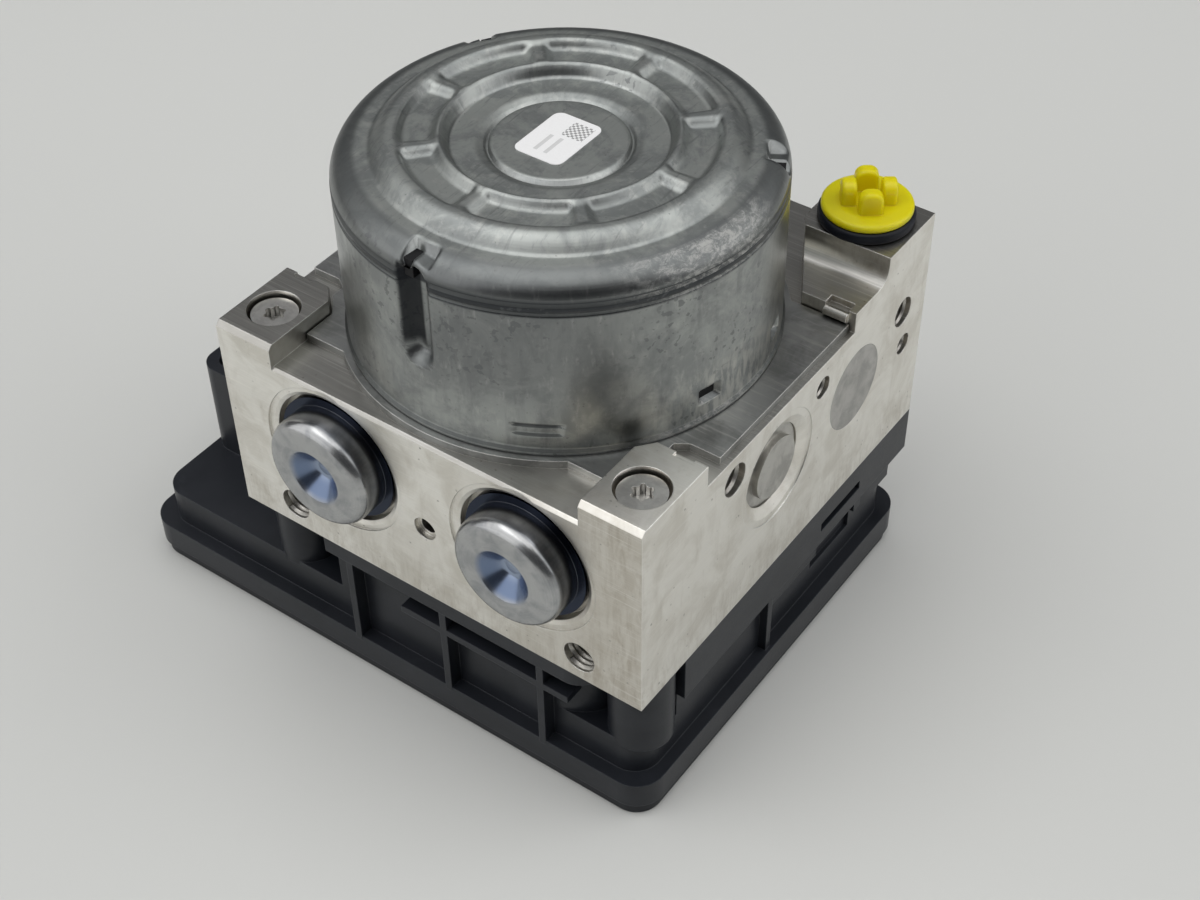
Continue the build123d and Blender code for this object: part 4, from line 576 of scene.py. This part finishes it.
def thread(bm, mouth, out, radius, depth, pitch):
    """Adds a helical thread ridge inside a bore."""
    out = Vector(out).normalized()
    side = out.orthogonal().normalized()
    start = Vector(mouth) - out * (pitch * RIDGE_START)
    turns = int((depth - pitch) / pitch)
    foot = start + side * (radius + RIDGE_SINK)
    top = start + side * (radius - pitch * RIDGE_H)
    ring = [
        foot,
        top - out * (pitch * RIDGE_TOP[0]),
        top - out * (pitch * RIDGE_TOP[1]),
        foot - out * (pitch * RIDGE_END),
    ]
    verts = [bm.verts.new(p * MM) for p in ring]
    edges = [bm.edges.new((a, b)) for a, b in zip(verts, verts[1:])]
    bmesh.ops.spin(
        bm,
        geom=verts + edges,
        cent=Vector(mouth) * MM,
        axis=out,
        dvec=-out * (pitch / RIDGE_STEPS * MM),
        angle=math.tau * turns,
        steps=RIDGE_STEPS * turns,
        use_merge=False,
    )


# The motor can as it is pressed: soft pockets, bitten notches, a deep groove.
# Heights start at the can's flat end, radii at the motor's axis. A pair gives
# the places where a slope starts and ends, in millimetres or degrees. END_EDGE
# and INNER_EDGE give the radius and height that bound the end and the inner wall.

CAN_R = 36.0
SHOULDER_R = 4.5
SHOULDER_STEPS = 15
END_R = CAN_R - SHOULDER_R
END_EDGE = (END_R + 0.2, -0.1)
CAN_FOOT = -33.0
LIP_R = 36.4
LIP_TOP = (1.0, 0.6)
LIP_GAP = 0.2
INNER_R = 34.4
INNER_EDGE = (INNER_R + 0.1, -3.0)
GROOVE_INNER_R = 33.0
GROOVE_INNER = (-25.0, -24.0, -6.0)
INNER_TOP = ((32.0, -4.4), (29.0, -3.6), (0.0, -3.6))
END_STEP = 0.35
END_RINGS = 91
FINE_STEP = 0.3
COARSE_STEP = 0.6
COARSE_PART = (-24.5, -7.0)
CAN_STEPS = 400

CREST_H = 2.3
CREST_OUTER = (29.7, 26.5)
CREST_INNER = (17.2, 19.0)
POCKET_T = 1.55
POCKET_TURN = 45.0
POCKET_OUTER = (25.6, 24.2)
POCKET_INNER = (18.6, 20.4)
POCKET_END = (20.8, 17.0)
RIB_SHARE = 0.28
DISH_T = 0.45
DISH = (13.3, 11.7)
RING_T = 0.55
RING_OUTER = (11.75, 11.45)
RING_INNER = (10.95, 11.25)
DISC_H = 0.35
DISC = (11.2, 10.7)

GROOVE_AT = -91.0
GROOVE_T = 2.3
GROOVE_WALL = (3.2, 1.3)
GROOVE_MOUTH = (-2.2, -2.9)
GROOVE_ENDS = (-18.1, -5.0)
BEADS = (-4.0, -5.7)
BEAD_T = 0.35
BEAD_HALF = 0.4
BEAD_FADE = 0.5
# Centre angle, half width, lower and upper edge, depth. The ones deeper than
# WINDOW_T are windows, with a near-black sheet behind as painted shade.
PRESSINGS = (
    (-15.0, 1.9, -29.2, -26.7, 1.3),
    (15.3, 1.7, -29.2, -26.7, 1.3),
    (120.0, 3.7, -29.2, -25.2, 1.3),
    (-60.0, 3.7, -29.3, -27.3, 0.35),
    (-60.0, 3.7, -27.7, -27.2, 1.0),
)
PRESSING_EDGE = 0.15
PRESSING_RUN = 0.2
WINDOW_T = 1.2
WINDOW_BACK = (34.4, 34.95)

NOTCHES = (-90.0, 30.0, 150.0)
NOTCH_INNER = (31.9, 32.3)
NOTCH_HOLE = ((-2.7, -2.4), (-0.7, -1.0))
NOTCH_HOLE_Z = -3.2
NOTCH_LUG = ((-1.0, -0.8), (2.6, 2.3))
NOTCH_LUG_Z = -1.7
NOTCH_LUG_TILT = 0.25
NOTCH_BACK_TURN = 2.7
# Half width, lower and upper edge, inner and outer radius.
NOTCH_BACK = (0.85, -5.0, -1.9, 31.4, 35.0)


def ease(start, end, value):
    """0 at start, 1 at end, smooth between."""
    t = min(1.0, max(0.0, (value - start) / (end - start)))
    return t * t * (3.0 - 2.0 * t)


def crest(start, end, value):
    """0 at start with a sharp foot, 1 at end with a round top."""
    return math.sin(math.pi / 2 * min(1.0, max(0.0, (value - start) / (end - start))))


def arc_from(centre, degrees):
    """Distance round the can's side from a centre angle."""
    turn = (degrees - centre + 180.0) % 360.0 - 180.0
    return math.radians(turn) * CAN_R


def end_height(radius, degrees):
    """Height of the can's pressed end over its flat."""
    height = CREST_H * crest(*CREST_OUTER, radius) * crest(*CREST_INNER, radius)
    off = abs(degrees % POCKET_TURN - POCKET_TURN / 2)
    along = RIB_SHARE + (1.0 - RIB_SHARE) * ease(*POCKET_END, off)
    height -= POCKET_T * ease(*POCKET_INNER, radius) * ease(*POCKET_OUTER, radius) * along
    height -= DISH_T * ease(*DISH, radius)
    height -= RING_T * ease(*RING_OUTER, radius) * ease(*RING_INNER, radius)
    height += DISC_H * ease(*DISC, radius)
    return height


def side_depth(degrees, z):
    """How far the can's side is pressed in."""
    low, high = GROOVE_ENDS
    along = z - min(high, max(low, z))
    off = math.hypot(arc_from(GROOVE_AT, degrees), along)
    depth = GROOVE_T * ease(*GROOVE_WALL, off) * ease(*GROOVE_MOUTH, z)
    edge = PRESSING_EDGE
    for centre, half, low, high, deep in PRESSINGS:
        inside = ease(half + edge, half - PRESSING_RUN, abs(arc_from(centre, degrees)))
        inside *= ease(low - edge, low + edge, z) * ease(high + edge, high - edge, z)
        depth = max(depth, deep * inside)
    beads = sum(BEAD_T * ease(BEAD_HALF, 0.0, abs(z - bead)) for bead in BEADS)
    return depth + ease(BEAD_FADE, 0.0, depth) * beads


def notch_depth(degrees, radius, z):
    """How far a crimp notch cuts into the shoulder: a hole with a flattened lug beside it."""
    cut = 0.0
    for centre in NOTCHES:
        across = arc_from(centre, degrees)
        hole = ease(*NOTCH_HOLE[0], across) * ease(*NOTCH_HOLE[1], across)
        lug = ease(*NOTCH_LUG[0], across) * ease(*NOTCH_LUG[1], across)
        lug_floor = NOTCH_LUG_Z - NOTCH_LUG_TILT * across
        cut = max(cut, hole * max(0.0, z - NOTCH_HOLE_Z), lug * max(0.0, z - lug_floor))
    return cut * ease(*NOTCH_INNER, radius)


def can_profile():
    """Radius and height of the can's section, from its pole over the side to the inner pole."""
    profile = [(END_STEP * k, 0.0) for k in range(END_RINGS)]
    for k in range(1, SHOULDER_STEPS + 1):
        a = math.pi / 2 * (1 - k / SHOULDER_STEPS)
        out = END_R + SHOULDER_R * math.cos(a)
        profile.append((out, SHOULDER_R * (math.sin(a) - 1)))
    z = -SHOULDER_R - FINE_STEP
    coarse_low, coarse_high = COARSE_PART
    while z > CAN_FOOT + LIP_TOP[0] + LIP_GAP:
        profile.append((CAN_R, z))
        z -= COARSE_STEP if coarse_low <= z <= coarse_high else FINE_STEP
    profile += [(CAN_R, CAN_FOOT + LIP_TOP[0]), (LIP_R, CAN_FOOT + LIP_TOP[1]), (LIP_R, CAN_FOOT)]
    low, mid, high = GROOVE_INNER
    profile += [(INNER_R, CAN_FOOT), (INNER_R, low), (GROOVE_INNER_R, mid), (GROOVE_INNER_R, high)]
    return profile + list(INNER_TOP)


def pressed_can():
    bm = bmesh.new()
    verts = [bm.verts.new(Vector((r, 0.0, CAN_FLAT_Z + z)) * MM) for r, z in can_profile()]
    edges = [bm.edges.new(pair) for pair in zip(verts, verts[1:])]
    bmesh.ops.spin(
        bm, geom=verts + edges, cent=(0, 0, 0), axis=(0, 0, 1), dvec=(0, 0, 0),
        angle=math.tau, steps=CAN_STEPS, use_merge=True,
    )
    bmesh.ops.remove_doubles(bm, verts=bm.verts[:], dist=1e-7)
    for v in bm.verts:
        x, y, z = v.co.x / MM, v.co.y / MM, v.co.z / MM - CAN_FLAT_Z
        radius = math.hypot(x, y)
        degrees = math.degrees(math.atan2(y, x))
        inner_wall = radius < INNER_EDGE[0] and z < INNER_EDGE[1]
        if radius < END_EDGE[0] and z > END_EDGE[1]:
            v.co.z += end_height(radius, degrees) * MM
        elif radius > END_R and z > CAN_FOOT + LIP_TOP[0] and not inner_wall:
            inward = side_depth(degrees, z)
            v.co.z -= notch_depth(degrees, radius, z) * MM
            v.co.x *= (radius - inward) / radius
            v.co.y *= (radius - inward) / radius
    return bm


def window_shade_sheets():
    """Near-black sheets behind the can's small windows and notches: painted shade for the dark inside of
    the can.
    """
    edge = PRESSING_EDGE
    places = []
    for centre, half, low, high, deep in PRESSINGS:
        if deep > WINDOW_T:
            places.append((centre, half - edge, low + edge, high - edge, *WINDOW_BACK))
    places += [(centre - NOTCH_BACK_TURN, *NOTCH_BACK) for centre in NOTCHES]
    bm = bmesh.new()
    for centre, half, low, high, inner, outer in places:
        made = bmesh.ops.create_cube(bm, size=1.0)["verts"]
        bmesh.ops.scale(bm, vec=Vector((outer - inner, 2 * half, high - low)) * MM, verts=made)
        place = Vector(((outer + inner) / 2, 0.0, CAN_FLAT_Z + (low + high) / 2)) * MM
        bmesh.ops.translate(bm, vec=place, verts=made)
        turn = Matrix.Rotation(math.radians(centre), 3, "Z")
        bmesh.ops.rotate(bm, cent=(0, 0, 0), matrix=turn, verts=made)
    return bm


# Painted shade: near-black sheets stand for the shade inside the can's windows and notches.
shade_sheet_finish = moulded("shade sheet", (0.006, 0.006, 0.007), (0.004, 0.004, 0.005), 0.5, 0.01, 1.4)
finish_piece(window_shade_sheets(), "window_shade_sheets", shade_sheet_finish, smooth=False)
can = finish_piece(pressed_can(), "pressed_can", finishes[("motor_can",)])
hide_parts("motor_can")

FRONT_Y = -38.65
RIGHT_X = 42.3
BACK_Y = 48.35
BLOCK_Z = 30.2
BRACKET_X = 30.2
PORT_X = (-30.0, -10.0, 10.0, 30.0)
OUT_FRONT = (0, -1, 0)
OUT_RIGHT = (1, 0, 0)
OUT_BACK = (0, 1, 0)
# Radius, depth and pitch.
BRACKET_THREAD = (3.0, 8.6, 1.0)
PORT_THREAD = (5.0, 11.0, 1.0)
BLEED_THREAD = (2.84, 6.0, 0.8)
PIN_THREAD = (2.07, 5.6, 0.7)
TEST_THREAD = (2.05, 5.6, 0.7)


def cut_threads():
    """Threads of the block's tapped holes: mouth, way out, size."""
    holes = [((x, FRONT_Y, BLOCK_Z + 4.93), OUT_FRONT, BRACKET_THREAD) for x in (-BRACKET_X, BRACKET_X)]
    holes += [
        ((RIGHT_X, -13.25, BLOCK_Z + 30.8), OUT_RIGHT, BRACKET_THREAD),
        ((RIGHT_X, 13.25, BLOCK_Z + 30.7), OUT_RIGHT, PIN_THREAD),
        ((RIGHT_X, 40.35, BLOCK_Z + 28.4), OUT_RIGHT, BLEED_THREAD),
        ((RIGHT_X, 41.75, BLOCK_Z + 20.3), OUT_RIGHT, TEST_THREAD),
    ]
    holes += [((x, BACK_Y, BLOCK_Z + 25.0), OUT_BACK, PORT_THREAD) for x in PORT_X]
    bm = bmesh.new()
    for mouth, out, size in holes:
        thread(bm, mouth, out, *size)
    return bm


cut_thread = plain_metal("cut thread", (0.5, 0.485, 0.45), (0.3, 0.29, 0.27), 0.3)
finish_piece(cut_threads(), "cut_threads", cut_thread)

LABEL_W = 9.0
LABEL_L = 12.3
LABEL_CORNER = 1.5
LABEL_T = 0.12
LABEL_AT = (-0.3, -0.05, CAN_FLAT_Z - 0.08)


def label_stock():
    """Plain white label with a generic patch of squares and two bars."""
    f = Finish("label stock")
    x, y, _ = f.axes(f.spread())

    def inside(centre_x, half_x, centre_y, half_y):
        wide = 1.0 - (x - centre_x).absolute().above(half_x, half_x + 0.01)
        return wide * (1.0 - (y - centre_y).absolute().above(half_y, half_y + 0.01))

    squares = f.add("ShaderNodeTexChecker", {}, {"Vector": f.spread(), "Scale": 2.2})[1]
    patch = inside(1.3, 1.95, 3.0, 1.95) * squares
    bars = inside(-1.6, 0.35, -2.1, 2.3) + inside(0.3, 0.35, -2.1, 2.3)
    fibres = f.noise(f.even(2.5), 1.0, 3.0, 0.6)
    base = f.mix(fibres, (0.88, 0.88, 0.88), (0.80, 0.80, 0.80))
    base = f.mix(patch.clamped() * 0.8, base, (0.16, 0.16, 0.16))
    base = f.mix(bars.clamped() * 0.35, base, (0.2, 0.2, 0.2))
    f.paint(colour=base, roughness=0.4 + fibres * 0.15)
    f.bump(fibres, 0.004)
    return f.close()


def motor_label():
    bm = bmesh.new()
    bmesh.ops.create_grid(bm, x_segments=1, y_segments=1, size=0.5)
    bmesh.ops.scale(bm, vec=(LABEL_W * MM, LABEL_L * MM, 1.0), verts=bm.verts)
    bmesh.ops.bevel(
        bm, geom=bm.verts[:], offset=LABEL_CORNER * MM, affect="VERTICES", segments=6,
        profile=0.5, material=-1,
    )
    bmesh.ops.translate(bm, vec=Vector(LABEL_AT) * MM, verts=bm.verts)
    shell = bmesh.ops.extrude_face_region(bm, geom=bm.faces[:])
    lifted = [v for v in shell["geom"] if isinstance(v, bmesh.types.BMVert)]
    bmesh.ops.translate(bm, vec=(0, 0, LABEL_T * MM), verts=lifted)
    return bm


finish_piece(motor_label(), "motor_label", label_stock(), smooth=False)

# ---------------------------------------------------------------- studio

FLOOR_HALF = 4.0
FLOOR_DROP = 0.0002
ROOM_LOW = (0.07, 0.072, 0.076, 1.0)
ROOM_HIGH = (0.09, 0.09, 0.092, 1.0)


def studio_floor():
    f = Finish("studio floor", roughness=0.7)
    cloud = f.noise(f.even(0.004), 1.0, 2.0, 0.5)
    f.paint(colour=f.mix(cloud, (0.60, 0.605, 0.585), (0.64, 0.645, 0.625)))
    return f.close()


def lay_floor():
    bm = bmesh.new()
    bmesh.ops.create_grid(bm, x_segments=1, y_segments=1, size=FLOOR_HALF)
    bmesh.ops.translate(bm, vec=(0, 0, -FLOOR_DROP), verts=bm.verts)
    mesh = bpy.data.meshes.new("studio_floor")
    bm.to_mesh(mesh)
    bm.free()
    mesh.materials.append(studio_floor())
    floor = bpy.data.objects.new("studio_floor", mesh)
    bpy.context.collection.objects.link(floor)


def soft_box(name, place, aim, size, power):
    """Rectangular light turned towards its aim."""
    data = bpy.data.lights.new(name, "AREA")
    data.shape = "RECTANGLE"
    data.size, data.size_y = size
    data.energy = power
    lamp = bpy.data.objects.new(name, data)
    lamp.location = place
    lamp.rotation_euler = (Vector(aim) - Vector(place)).to_track_quat("-Z", "Y").to_euler()
    bpy.context.collection.objects.link(lamp)


def light_room():
    """Room light, a little brighter towards the top."""
    world = bpy.data.worlds.new("room")
    world.use_nodes = True
    nodes, links = world.node_tree.nodes, world.node_tree.links
    way = nodes.new("ShaderNodeTexCoord")
    split = nodes.new("ShaderNodeSeparateXYZ")
    ramp = nodes.new("ShaderNodeValToRGB")
    low, high = ramp.color_ramp.elements
    low.color = ROOM_LOW
    high.color = ROOM_HIGH
    links.new(way.outputs["Generated"], split.inputs[0])
    links.new(split.outputs[2], ramp.inputs[0])
    links.new(ramp.outputs[0], nodes["Background"].inputs[0])
    bpy.context.scene.world = world


lay_floor()
soft_box("overhead_box", (-0.05, 0.0, 1.6), (0, 0, 0.05), (1.9, 1.9), 16.0)
soft_box("right_box", (1.3, 0.7, 1.0), (0.1, 0.05, 0.0), (2.0, 2.0), 15.0)
soft_box("front_box", (-1.0, -1.3, 1.2), (-0.1, -0.2, 0.0), (2.9, 2.9), 29.0)
light_room()
bpy.context.scene.view_settings.view_transform = "Standard"
